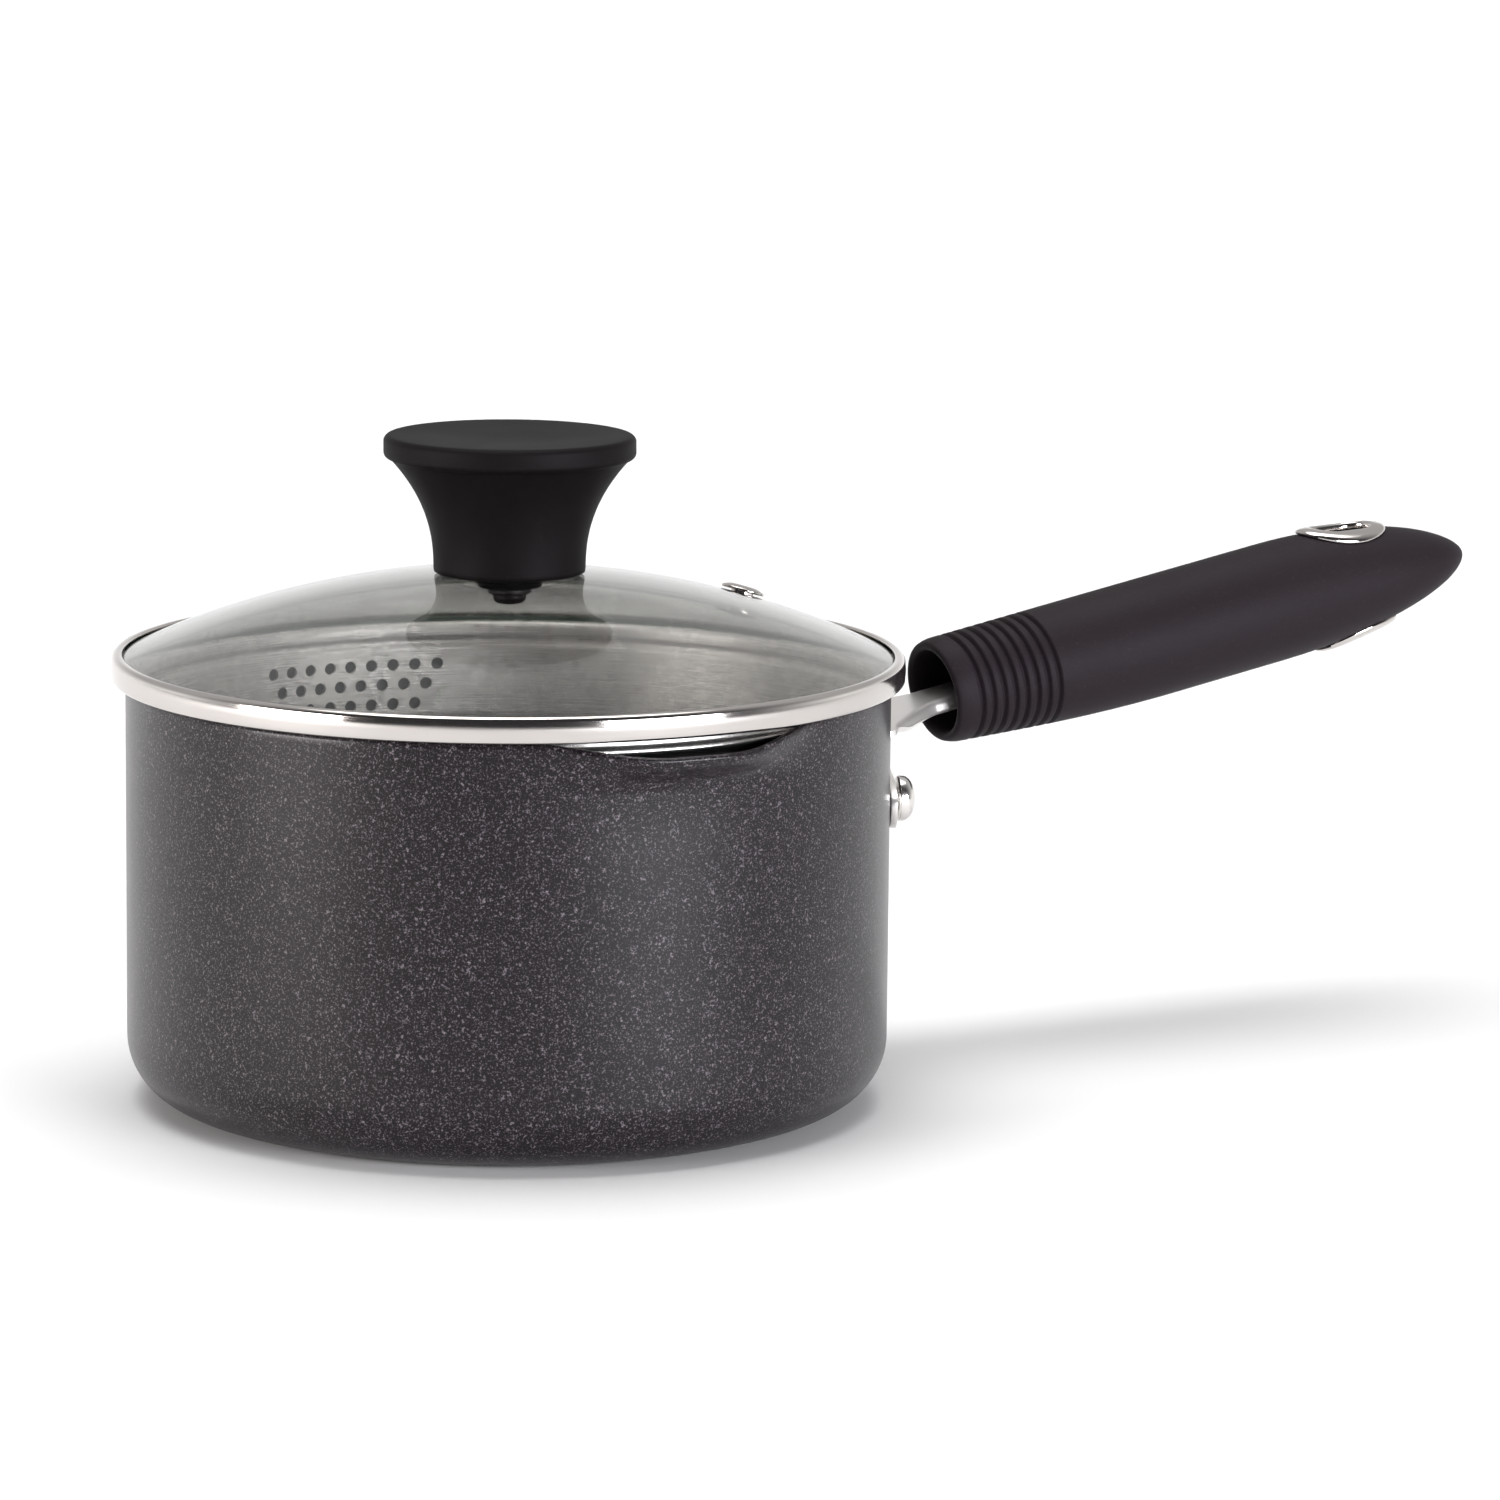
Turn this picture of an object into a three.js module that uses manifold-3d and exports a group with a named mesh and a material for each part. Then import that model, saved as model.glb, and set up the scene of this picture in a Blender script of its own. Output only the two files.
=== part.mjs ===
// Saucepan with a straining glass lid. Millimetres, +Z up.
// The origin is the centre of the base, the handle points along +X and the pouring lips face +Y and -Y.
import * as THREE from "three";
import { mergeVertices } from "three/addons/utils/BufferGeometryUtils.js";
import Module from "manifold-3d";

const wasm = await Module();
wasm.setup();

const degrees = Math.PI / 180;

// ---------------------------------------------------------------- driving sizes: clearances
const gap = 0.3; // between faces that touch on the real object
const looseFit = 0.6; // round a part that drops into place by hand

// ---------------------------------------------------------------- driving sizes: pan
const panR = 82; // outside of the straight wall
const panHeight = 90.6;
const panWall = 2;
const baseThickness = 3.2;
const baseCornerR = 14;
const spoutHalfAngle = 21 * degrees;
const spoutReach = 6; // how far a pouring lip leans out
const spoutDip = 3; // how far it drops below the rim
const spoutFade = 11; // height over which it runs out into the wall

// ---------------------------------------------------------------- driving sizes: lid
const sheet = 0.6; // stainless sheet of the rim band and the skirt
const bandOverhang = 3.1; // rim band beyond the pan wall
const bandFold = 2.4; // width of the fold over the glass
const domeR = 195; // outside of the glass
const glassThickness = 3;
const skirtClearance = 1.4; // skirt to the pan's inner wall
const skirtDepth = 21;
const flangeInset = 2.3; // edge of the skirt's flange inside the edge of the glass
const beadClearance = 0.7; // stiffening bead of the skirt to the pan's inner wall
const beadHeight = 3.6;
const beadDrop = 3.1; // bead's centre below the rim band
const coarseHoleR = 1.4;
const coarsePitch = 5.2;
const coarseRows = 3;
const coarseInTopRow = 9;
const fineHoleR = 0.8;
const finePitch = 3.6;
const fineRows = 3;
const fineInTopRow = 11;
const ventDistance = 57; // steam vent from the lid's axis
const ventBoreR = 1.8;
const ventTube = 0.8; // wall of the grommet's tube
const ventFlangeR = 4.8;
const ventFlangeHeight = 1.3;

// ---------------------------------------------------------------- driving sizes: knob
const knobHeight = 28.7;
const knobBaseR = 16.3;
const knobFlare = 9.2; // how much wider the stem is under the rim
const knobRimR = 27;
const knobRimHeight = 5.2;
const knobRimRound = 2;
const knobDish = 0.7; // hollow of the top face
const knobShell = 2.4; // soft layer over the hard core
const screwR = 2;
const screwHeadR = 3.6;
const screwHeadHeight = 1.9;
const insertR = 4;
const insertLength = 12;
const knobGasketInset = 3.8; // gasket's edge inside the knob's foot
const knobGasketHeight = 1.7;
const lowerGasketR = 7.2;
const lowerGasketHeight = 1.6;
const washerR = 4.6;
const washerThickness = 0.8;

// ---------------------------------------------------------------- driving sizes: handle
const handleSlope = 10.3 * degrees;
const mouthDistance = 106; // mouth of the grip from the pan's axis
const mouthDrop = 11.8; // handle's axis at the mouth, below the pan's rim
const gripLength = 142.7;
const gripMouthR = 11.8;
const gripR = 13.6; // at its thickest
const gripSwell = 60; // length over which it thickens
const gripTaper = 53; // length of the rounded end
const gripEndWidening = 0.6; // how much flatter the end is than it is wide
const gripEndDrop = 0.7;
const sleeveWall = 2.6;
const sleeveNose = 14; // solid end of the soft sleeve
const collarLength = 5;
const grooveCount = 8;
const groovePitch = 3;
const grooveWidth = 1.4;
const grooveDepth = 0.8;
const coreRecess = 14; // core's front face behind the mouth
const eyeletSetback = 31.5; // eyelet's centre from the end of the grip
const eyeletLength = 14; // clear slot
const eyeletWidth = 8;
const eyeletFlange = 4; // flange round the slot
const eyeletSheet = 0.8;

// ---------------------------------------------------------------- driving sizes: bracket
const bracketSheet = 1.7;
const earAngle = 22 * degrees; // rivets from the handle, round the pan
const earR = 6.5;
const neckHalfWidth = 20; // at the pan wall
const tangSideClearance = 1.7; // tang to the inside of the sleeve at its mouth
const tangHeight = 3.4; // top plate with its turned-down edges
const tangLength = 52; // inside the grip
const rivetShankR = 2.4;
const rivetHeadR = 5;
const rivetHeadHeight = 4;
const rivetTailHeight = 1.5;
const rivetToSkirt = 1.4; // rivet tails below the skirt of the lid
const tangScrewR = 1.8;
const tangScrewHeadR = 3.2;
const tangScrewSetback = 12; // screw from the tang's end

// ---------------------------------------------------------------- fineness of the round pieces
const panSegments = 72;
const lidSegments = 48;
const knobSegments = 32;
const gripSegments = 24;
const smallSegments = 12;
const coarseHoleSides = 8;
const fineHoleSides = 6;

// ---------------------------------------------------------------- derived sizes
const panInnerR = panR - panWall;
const bandBottom = panHeight + gap;
const bandR = panR + bandOverhang;
const bandLipTop = bandBottom + sheet;
const skirtR = panInnerR - skirtClearance;
const skirtBottom = bandBottom - skirtDepth;
const beadReach = skirtClearance - beadClearance;
const bandInnerR = skirtR + looseFit;
const glassEdgeR = bandR - sheet - looseFit;
const flangeR = glassEdgeR - flangeInset;
const domeInnerR = domeR - glassThickness;
const domeCentreZ = bandLipTop + gap - heightOnSphere(domeInnerR, glassEdgeR);
const glassTop = domeCentreZ + domeR;
const glassUnderside = domeCentreZ + domeInnerR;
const knobBase = glassTop + looseFit;
const screwHoleR = screwR + looseFit;
const knobGasketR = knobBaseR - knobGasketInset;
const lowerGasketTop = glassUnderside - sagOfDome(domeInnerR, lowerGasketR) - gap;
const lowerGasketBottom = lowerGasketTop - lowerGasketHeight;
const washerBottom = lowerGasketBottom - gap - washerThickness;
const mouthHeight = panHeight - mouthDrop;
const gripStraight = gripLength - gripTaper;
const gripTopLine = gripR - 0.5; // the grip's upper outline runs straight at this height over the axis
const cavityLength = gripLength - sleeveNose;
const eyeletDistance = gripLength - eyeletSetback;
const earHeight = skirtBottom - rivetToSkirt - rivetHeadR;
const mouthCentre = gripTopLine - gripMouthR; // middle of the mouth over the handle's axis
const tangHalfChord = heightOnSphere(gripMouthR - sleeveWall, mouthCentre + tangHeight / 2);
const tangHalfWidth = tangHalfChord - tangSideClearance;
const wallPlateR = panR + gap;
const wallPlateOuterR = wallPlateR + bracketSheet;
const tangScrewDistance = tangLength - tangScrewSetback;

// ---------------------------------------------------------------- finishes
function finish(color, roughness, metalness) {
  return new THREE.MeshStandardMaterial({ color, roughness, metalness });
}

const speckledCoating = finish(0x524d4e, 0.45, 0.3);
const stainless = finish(0xd6d3ce, 0.2, 1);
const softTouch = finish(0x3b363a, 0.8, 0);
const hardPlastic = finish(0x232122, 0.55, 0);
const silicone = finish(0x1c1b1b, 0.7, 0);
const brass = finish(0xb08d4c, 0.35, 1);
const glass = finish(0xc4cbc6, 0.05, 0);
glass.transparent = true;
glass.opacity = 0.4;

// ---------------------------------------------------------------- curves
function heightOnSphere(radius, distance) {
  return Math.sqrt(radius * radius - distance * distance);
}

// How far a round surface falls away at a distance from where it is touched.
function sagOfDome(radius, distance) {
  return radius - heightOnSphere(radius, distance);
}

function smooth(t) {
  const held = THREE.MathUtils.clamp(t, 0, 1);
  return held * held * (3 - 2 * held);
}

const point = (r, z) => new THREE.Vector2(r, z);

// Points of an arc about (r, z), from one angle to another, both ends included.
function arc(r, z, radius, from, to, steps) {
  return Array.from({ length: steps + 1 }, (_, i) => {
    const angle = (from + ((to - from) * i) / steps) * degrees;
    return point(r + radius * Math.cos(angle), z + radius * Math.sin(angle));
  });
}

// Points of a curve r(z) between two heights.
function along(from, to, steps, radiusAt) {
  return Array.from({ length: steps + 1 }, (_, i) => {
    const z = from + ((to - from) * i) / steps;
    return point(radiusAt(z), z);
  });
}

// Points of a sphere's outline, centred on the axis, between two distances from the axis.
function dome(centreZ, radius, from, to, steps) {
  return Array.from({ length: steps + 1 }, (_, i) => {
    const r = from + ((to - from) * i) / steps;
    return point(r, centreZ + heightOnSphere(radius, r));
  });
}

// ---------------------------------------------------------------- solids
function solidOf(geometry) {
  const bare = geometry.clone();
  bare.deleteAttribute("normal");
  bare.deleteAttribute("uv");
  const merged = mergeVertices(bare, 1e-4);
  const corners = Array.from(merged.index.array);
  const kept = [];
  for (let i = 0; i < corners.length; i += 3) {
    const [a, b, c] = corners.slice(i, i + 3);
    if (a !== b && b !== c && c !== a) kept.push(a, b, c);
  }
  return new wasm.Manifold(
    new wasm.Mesh({
      numProp: 3,
      vertProperties: merged.attributes.position.array,
      triVerts: new Uint32Array(kept),
    }),
  );
}

function geometryOf(solid) {
  const mesh = solid.getMesh();
  const geometry = new THREE.BufferGeometry();
  geometry.setAttribute("position", new THREE.BufferAttribute(mesh.vertProperties, 3));
  geometry.setIndex(new THREE.BufferAttribute(mesh.triVerts, 1));
  geometry.computeVertexNormals();
  return geometry;
}

function reshaped(geometry, move) {
  const position = geometry.attributes.position;
  const vertex = new THREE.Vector3();
  for (let i = 0; i < position.count; i++) {
    vertex.fromBufferAttribute(position, i);
    move(vertex);
    position.setXYZ(i, vertex.x, vertex.y, vertex.z);
  }
  return geometry;
}

// A closed profile of (r, z) points, counter-clockwise, turned round the Z axis.
function turned(profile, segments) {
  return new THREE.LatheGeometry([...profile, profile[0]], segments).rotateX(Math.PI / 2);
}

// A shape in the XY plane, stretched from one height to another.
function raised(shape, from, to) {
  const options = { depth: to - from, bevelEnabled: false, curveSegments: 6 };
  return new THREE.ExtrudeGeometry(shape, options).translate(0, 0, from);
}

function disc(r, from, to, segments = smallSegments) {
  return turned([point(0, from), point(r, from), point(r, to), point(0, to)], segments);
}

function ring(innerR, outerR, from, to, segments = smallSegments) {
  return turned([point(innerR, from), point(outerR, from), point(outerR, to), point(innerR, to)], segments);
}

// A slot with round ends, its length along X, about a centre on the X axis.
function slotShape(length, width, centre) {
  const r = width / 2;
  const straight = length / 2 - r;
  const shape = new THREE.Shape();
  shape.absarc(centre + straight, 0, r, -Math.PI / 2, Math.PI / 2, false);
  shape.absarc(centre - straight, 0, r, Math.PI / 2, (3 * Math.PI) / 2, false);
  return shape;
}

function outline(points) {
  return new THREE.Shape(points.map(([x, y]) => new THREE.Vector2(x, y)));
}

// ---------------------------------------------------------------- scene graph
const saucepan = new THREE.Group();
const pan = new THREE.Group();
const handle = new THREE.Group();
const lid = new THREE.Group();
const knob = new THREE.Group();
saucepan.add(pan, handle, lid, knob);

handle.position.set(mouthDistance, 0, mouthHeight);
handle.rotation.y = -handleSlope;
const intoHandle = new THREE.Matrix4()
  .makeTranslation(mouthDistance, 0, mouthHeight)
  .multiply(new THREE.Matrix4().makeRotationY(-handleSlope));
const outOfHandle = intoHandle.clone().invert();

function add(group, name, solid, material) {
  const mesh = new THREE.Mesh(geometryOf(solid), material);
  mesh.name = name;
  group.add(mesh);
  return mesh;
}

// ---------------------------------------------------------------- pan
// How strongly a pouring lip acts at an angle round the pan: 1 over its middle, 0 outside it.
function spoutAt(angle) {
  const fromLip = Math.abs(Math.abs(angle) - Math.PI / 2);
  return smooth((spoutHalfAngle - fromLip) / (0.6 * spoutHalfAngle));
}

function leanIntoSpout(vertex) {
  const rise = smooth((vertex.z - panHeight + spoutFade) / spoutFade);
  const strength = rise * spoutAt(Math.atan2(vertex.y, vertex.x));
  const r = Math.hypot(vertex.x, vertex.y);
  const scale = r > 0 ? 1 + (spoutReach * strength) / r : 1;
  vertex.set(vertex.x * scale, vertex.y * scale, vertex.z - spoutDip * strength);
}

function rivetPlace(side) {
  return new THREE.Matrix4()
    .makeTranslation(0, 0, earHeight)
    .multiply(new THREE.Matrix4().makeRotationZ(side * earAngle))
    .multiply(new THREE.Matrix4().makeRotationY(Math.PI / 2));
}

const rivetHoles = [-1, 1].map((side) => {
  const hole = disc(rivetShankR + gap, panInnerR - panWall, wallPlateOuterR + panWall);
  return solidOf(hole.applyMatrix4(rivetPlace(side)));
});

function buildPan() {
  const cornerInnerR = baseCornerR - panWall;
  const rimR = panWall / 2;
  const wallTop = panHeight - rimR;
  const fadeStart = panHeight - spoutFade;
  const wallRows = 3;
  const profile = [
    point(0, 0),
    ...arc(panR - baseCornerR, baseCornerR, baseCornerR, -90, 0, 5),
    ...along(fadeStart, wallTop, wallRows, () => panR),
    ...arc(panR - rimR, wallTop, rimR, 45, 135, 2),
    ...along(wallTop, fadeStart, wallRows, () => panInnerR),
    ...arc(panInnerR - cornerInnerR, baseThickness + cornerInnerR, cornerInnerR, 0, -90, 3),
    point(0, baseThickness),
  ];
  const shell = solidOf(reshaped(turned(profile, panSegments), leanIntoSpout));
  add(pan, "pan_body", shell.subtract(rivetHoles[0]).subtract(rivetHoles[1]), speckledCoating);
}

// ---------------------------------------------------------------- bracket and rivets
// Height of the handle's axis at a distance from the pan's axis.
const axisHeight = (distance) => mouthHeight + (distance - mouthDistance) * Math.tan(handleSlope);

function buildBracket() {
  const bendHeight = axisHeight(wallPlateR) + tangHeight / 2;
  const earY = wallPlateOuterR * Math.sin(earAngle);
  const plateShape = outline([
    [-neckHalfWidth, bendHeight],
    [-neckHalfWidth - earR / 2, earHeight + earR],
    ...arc(-earY, earHeight, earR, 90, 270, 8).map(({ x, y }) => [x, y]),
    ...arc(earY, earHeight, earR, -90, 90, 8).map(({ x, y }) => [x, y]),
    [neckHalfWidth + earR / 2, earHeight + earR],
    [neckHalfWidth, bendHeight],
  ]);
  // The plate's outline faces +X: its width lies along Y and its height along Z.
  const facing = new THREE.Matrix4().makeBasis(
    new THREE.Vector3(0, 1, 0),
    new THREE.Vector3(0, 0, 1),
    new THREE.Vector3(1, 0, 0),
  );
  const cutter = solidOf(raised(plateShape, 0, 2 * panR).applyMatrix4(facing));
  const band = ring(wallPlateR, wallPlateOuterR, earHeight - 2 * earR, bendHeight + earR, panSegments);
  const wallPlate = solidOf(band).intersect(cutter);

  const wallStart = wallPlateR - mouthDistance - panWall;
  const plan = (inset, end) =>
    outline([
      [wallStart, -neckHalfWidth + inset],
      [-groovePitch, -tangHalfWidth + inset],
      [end - tangHalfWidth, -tangHalfWidth + inset],
      ...arc(end - tangHalfWidth, 0, tangHalfWidth - inset, -75, 75, 6).map(({ x, y }) => [x, y]),
      [end - tangHalfWidth, tangHalfWidth - inset],
      [-groovePitch, tangHalfWidth - inset],
      [wallStart, neckHalfWidth - inset],
    ]);
  const inset = bracketSheet * 0.7;
  const hollow = raised(plan(inset, tangLength), -tangHeight, tangHeight / 2 - bracketSheet);
  const screwHole = disc(tangScrewR + gap, -tangHeight, tangHeight).translate(tangScrewDistance, 0, 0);
  const panSide = disc(wallPlateR, 0, 2 * panHeight, panSegments);
  const tang = solidOf(raised(plan(0, tangLength), -tangHeight / 2, tangHeight / 2).applyMatrix4(intoHandle))
    .subtract(solidOf(hollow.applyMatrix4(intoHandle)))
    .subtract(solidOf(screwHole.applyMatrix4(intoHandle)))
    .subtract(solidOf(panSide));
  const bracket = wallPlate.add(tang).subtract(rivetHoles[0]).subtract(rivetHoles[1]);
  add(pan, "handle_bracket", bracket, stainless);
}

function buildRivets() {
  const tailBase = panInnerR - gap - sagOfDome(panInnerR, rivetHeadR);
  const headBase = wallPlateOuterR + gap;
  const profile = [
    point(0, tailBase - rivetTailHeight),
    point(rivetHeadR * 0.8, tailBase - rivetTailHeight),
    point(rivetHeadR, tailBase - rivetTailHeight / 2),
    point(rivetHeadR, tailBase),
    point(rivetShankR, tailBase),
    point(rivetShankR, headBase),
    point(rivetHeadR, headBase),
    point(rivetHeadR, headBase + rivetHeadHeight * 0.35),
    point(rivetHeadR * 0.84, headBase + rivetHeadHeight * 0.72),
    point(rivetHeadR * 0.5, headBase + rivetHeadHeight * 0.94),
    point(0, headBase + rivetHeadHeight),
  ];
  for (const [name, side] of [["right_rivet", -1], ["left_rivet", 1]]) {
    add(pan, name, solidOf(turned(profile, smallSegments).applyMatrix4(rivetPlace(side))), stainless);
  }
}

// ---------------------------------------------------------------- handle
// The handle's pieces lie along the group's own X axis, from the mouth at 0 to the tip at gripLength.
function taperAt(s) {
  return THREE.MathUtils.clamp((s - gripStraight) / gripTaper, 0, 0.995);
}

function gripRadius(s) {
  if (s > gripStraight) return gripR * (1 - taperAt(s) ** 2) ** 0.62;
  const swell = Math.sin((Math.PI / 2) * THREE.MathUtils.clamp(s / gripSwell, 0, 1));
  return gripMouthR + (gripR - gripMouthR) * swell;
}

// Height of the grip's middle over the handle's axis.
function gripMiddle(s) {
  return gripTopLine - gripRadius(Math.min(s, gripStraight)) - gripEndDrop * taperAt(s) ** 3;
}

// Lays a turned piece along X, widens its end and moves each section to the grip's middle.
function alongGrip(profile, segments = gripSegments) {
  return reshaped(turned(profile, segments).rotateY(Math.PI / 2), (vertex) => {
    vertex.y *= 1 + gripEndWidening * taperAt(vertex.x) ** 2;
    vertex.z += gripMiddle(vertex.x);
  });
}

function grooves() {
  return Array.from({ length: grooveCount }, (_, i) => {
    const start = collarLength + i * groovePitch;
    const middle = start + grooveWidth / 2;
    return [
      point(gripRadius(start), start),
      point(gripRadius(middle) - grooveDepth, middle),
      point(gripRadius(start + grooveWidth), start + grooveWidth),
    ];
  }).flat();
}

const groovesEnd = collarLength + grooveCount * groovePitch;
const cavityRadius = (s) => gripRadius(s) - sleeveWall;
const coreRadius = (s) => cavityRadius(s) - gap;

// The hanging slot's outline, grown by a margin.
function eyeletShape(margin) {
  return slotShape(eyeletLength + 2 * margin, eyeletWidth + 2 * margin, eyeletDistance);
}

function eyeletHole(margin) {
  return solidOf(raised(eyeletShape(margin), -2 * gripR, 2 * gripR));
}

function buildGrip() {
  const lip = 1;
  const sleeve = [
    point(cavityRadius(0) + lip / 2, 0),
    point(gripMouthR - lip, 0),
    point(gripRadius(lip) - 0.1 * lip, lip),
    ...grooves(),
    ...along(groovesEnd + groovePitch, gripStraight, 3, gripRadius),
    ...along(gripStraight + gripTaper * 0.15, gripLength - gripTaper * 0.1, 5, gripRadius),
    point(gripRadius(gripLength - gripTaper * 0.03), gripLength - gripTaper * 0.03),
    point(0, gripLength),
    point(0, cavityLength),
    point(cavityRadius(cavityLength), cavityLength),
    ...along(cavityLength - gripTaper * 0.2, gripStraight, 3, cavityRadius),
    ...along(gripSwell, lip, 4, cavityRadius),
  ];
  const grip = solidOf(alongGrip(sleeve)).subtract(eyeletHole(eyeletSheet + gap));
  add(handle, "handle_grip", grip, softTouch);
}

function buildCore() {
  const end = cavityLength - gap;
  const profile = [
    point(0, coreRecess),
    ...along(coreRecess, gripSwell, 3, coreRadius),
    ...along(gripStraight, cavityLength - gripTaper * 0.2, 3, coreRadius),
    point(coreRadius(end), end),
    point(0, end),
  ];
  const slotHalf = tangHalfWidth + gap;
  const slotEnd = tangLength + gap;
  const slot = outline([[0, -slotHalf], [slotEnd, -slotHalf], [slotEnd, slotHalf], [0, slotHalf]]);
  const head = tangScrewHead();
  const screwBore = disc(tangScrewR + gap, head.bottom, head.shankEnd + gap);
  const headBore = disc(tangScrewHeadR + gap, -gripR, head.top + gap);
  const core = solidOf(alongGrip(profile))
    .subtract(solidOf(raised(slot, -tangHeight / 2 - gap, tangHeight / 2 + gap)))
    .subtract(solidOf(screwBore.translate(tangScrewDistance, 0, 0)))
    .subtract(solidOf(headBore.translate(tangScrewDistance, 0, 0)))
    .subtract(eyeletHole(eyeletSheet + gap));
  add(handle, "handle_core", core, hardPlastic);
}

// Heights of the tang screw's head and of its shank's end, so that the head stays under the sleeve.
function tangScrewHead() {
  const r = coreRadius(tangScrewDistance);
  const bottom = gripMiddle(tangScrewDistance) - heightOnSphere(r, tangScrewHeadR + gap);
  return { bottom, top: bottom + tangScrewR, shankEnd: tangHeight / 2 + tangScrewR * 2 };
}

function buildTangScrew() {
  const head = tangScrewHead();
  const profile = [
    point(0, head.bottom),
    point(tangScrewHeadR, head.bottom),
    point(tangScrewHeadR, head.top),
    point(tangScrewR, head.top),
    point(tangScrewR, head.shankEnd),
    point(0, head.shankEnd),
  ];
  const screw = turned(profile, smallSegments).translate(tangScrewDistance, 0, 0);
  add(handle, "tang_screw", solidOf(screw), stainless);
}

// Each half is a saddle-shaped flange on the grip's surface with half of the tube that lines the slot.
function buildEyelet() {
  const reach = eyeletLength / 2 + eyeletFlange;
  const from = eyeletDistance - reach - eyeletSheet;
  const to = eyeletDistance + reach + eyeletSheet;
  const skin = alongGrip([
    ...along(from, to, 4, (s) => gripRadius(s) + gap + eyeletSheet),
    ...along(to, from, 4, (s) => gripRadius(s) + gap),
  ]);
  const flangeShape = eyeletShape(eyeletFlange);
  const tubeShape = eyeletShape(eyeletSheet);
  const lowestR = gripRadius(eyeletDistance + eyeletLength / 2 + eyeletSheet);
  const surface = gripMiddle(eyeletDistance) + lowestR;
  const underside = gripMiddle(eyeletDistance) - lowestR;
  const clear = eyeletHole(0);
  for (const [name, low, high, tubeLow, tubeHigh] of [
    ["hanging_eyelet_upper", 0, 2 * gripR, gap / 2, surface + gap],
    ["hanging_eyelet_lower", -2 * gripR, 0, underside - gap, -gap / 2],
  ]) {
    const flange = solidOf(skin).intersect(solidOf(raised(flangeShape, low, high)));
    const tube = solidOf(raised(tubeShape, tubeLow, tubeHigh));
    add(handle, name, flange.add(tube).subtract(clear), stainless);
  }
}

// ---------------------------------------------------------------- lid
function buildGlass() {
  const profile = [
    ...dome(domeCentreZ, domeInnerR, screwHoleR + gap, glassEdgeR, 8),
    ...dome(domeCentreZ, domeR, glassEdgeR, screwHoleR + gap, 8),
  ];
  const vent = disc(ventBoreR + ventTube + gap, -2 * glassThickness, 2 * glassThickness);
  const pane = solidOf(turned(profile, lidSegments)).subtract(solidOf(vent.applyMatrix4(ventPlace)));
  add(lid, "lid_glass", pane, glass);
}

// Channel with a lip that sits on the pan rim, an outer wall and a fold over the edge of the glass.
function buildRimBand() {
  const foldR = bandR - bandFold;
  const foldUnderside = domeCentreZ + heightOnSphere(domeR, foldR) + gap;
  const top = foldUnderside + sheet;
  const round = 1.2;
  const profile = [
    point(bandInnerR, bandBottom),
    point(bandR - round / 2, bandBottom),
    point(bandR, bandBottom + round / 2),
    ...arc(bandR - round, top - round, round, 0, 90, 3),
    point(foldR, top),
    point(foldR, foldUnderside),
    point(bandR - sheet - gap, foldUnderside),
    point(bandR - sheet, foldUnderside - gap),
    point(bandR - sheet, bandLipTop),
    point(bandInnerR, bandLipTop),
  ];
  add(lid, "lid_rim_band", solidOf(turned(profile, lidSegments)), stainless);
}

// Rows of holes through the skirt about its +Y or -Y side. Each row down is one hole shorter.
function holePatch(side, r, pitch, rows, inTopRow, sides) {
  const middle = skirtBottom + (skirtDepth - beadDrop - beadHeight / 2) / 2;
  const rowPitch = pitch * 0.88;
  const holes = [];
  for (let row = 0; row < rows; row++) {
    const count = inTopRow - row;
    const z = middle + rowPitch * ((rows - 1) / 2 - row);
    for (let i = 0; i < count; i++) {
      const turn = ((i - (count - 1) / 2) * pitch) / skirtR;
      const hole = disc(r, skirtR - 4 * sheet, skirtR + 4 * sheet, sides).rotateY(Math.PI / 2);
      holes.push(solidOf(hole.rotateZ((side * Math.PI) / 2 + turn).translate(0, 0, z)));
    }
  }
  return holes;
}

function buildSkirt() {
  const innerR = skirtR - sheet;
  const flangeBottom = bandLipTop + gap;
  const beadZ = bandBottom - beadDrop;
  const beadLow = beadZ - beadHeight / 2;
  const beadHigh = beadZ + beadHeight / 2;
  const bulge = (z) => beadReach * Math.sin((Math.PI * (z - beadLow)) / beadHeight);
  const profile = [
    point(innerR, skirtBottom),
    point(skirtR, skirtBottom),
    ...along(beadLow, beadHigh, 4, (z) => skirtR + bulge(z)),
    point(skirtR, flangeBottom),
    point(flangeR, flangeBottom),
    point(flangeR, flangeBottom + sheet),
    point(innerR, flangeBottom + sheet),
    ...along(beadHigh, beadLow, 4, (z) => innerR + bulge(z)),
  ];
  let skirt = solidOf(turned(profile, lidSegments));
  const holes = [
    ...holePatch(1, coarseHoleR, coarsePitch, coarseRows, coarseInTopRow, coarseHoleSides),
    ...holePatch(-1, fineHoleR, finePitch, fineRows, fineInTopRow, fineHoleSides),
  ];
  for (const hole of holes) skirt = skirt.subtract(hole);
  add(lid, "strainer_skirt", skirt, stainless);
}

// The steam vent stands square to the glass: its own axis passes through the dome's centre.
const ventTilt = Math.asin(ventDistance / domeR);
const ventPlace = new THREE.Matrix4()
  .makeTranslation(0, 0, domeCentreZ)
  .multiply(new THREE.Matrix4().makeRotationY(ventTilt))
  .multiply(new THREE.Matrix4().makeTranslation(0, 0, domeR));

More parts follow.
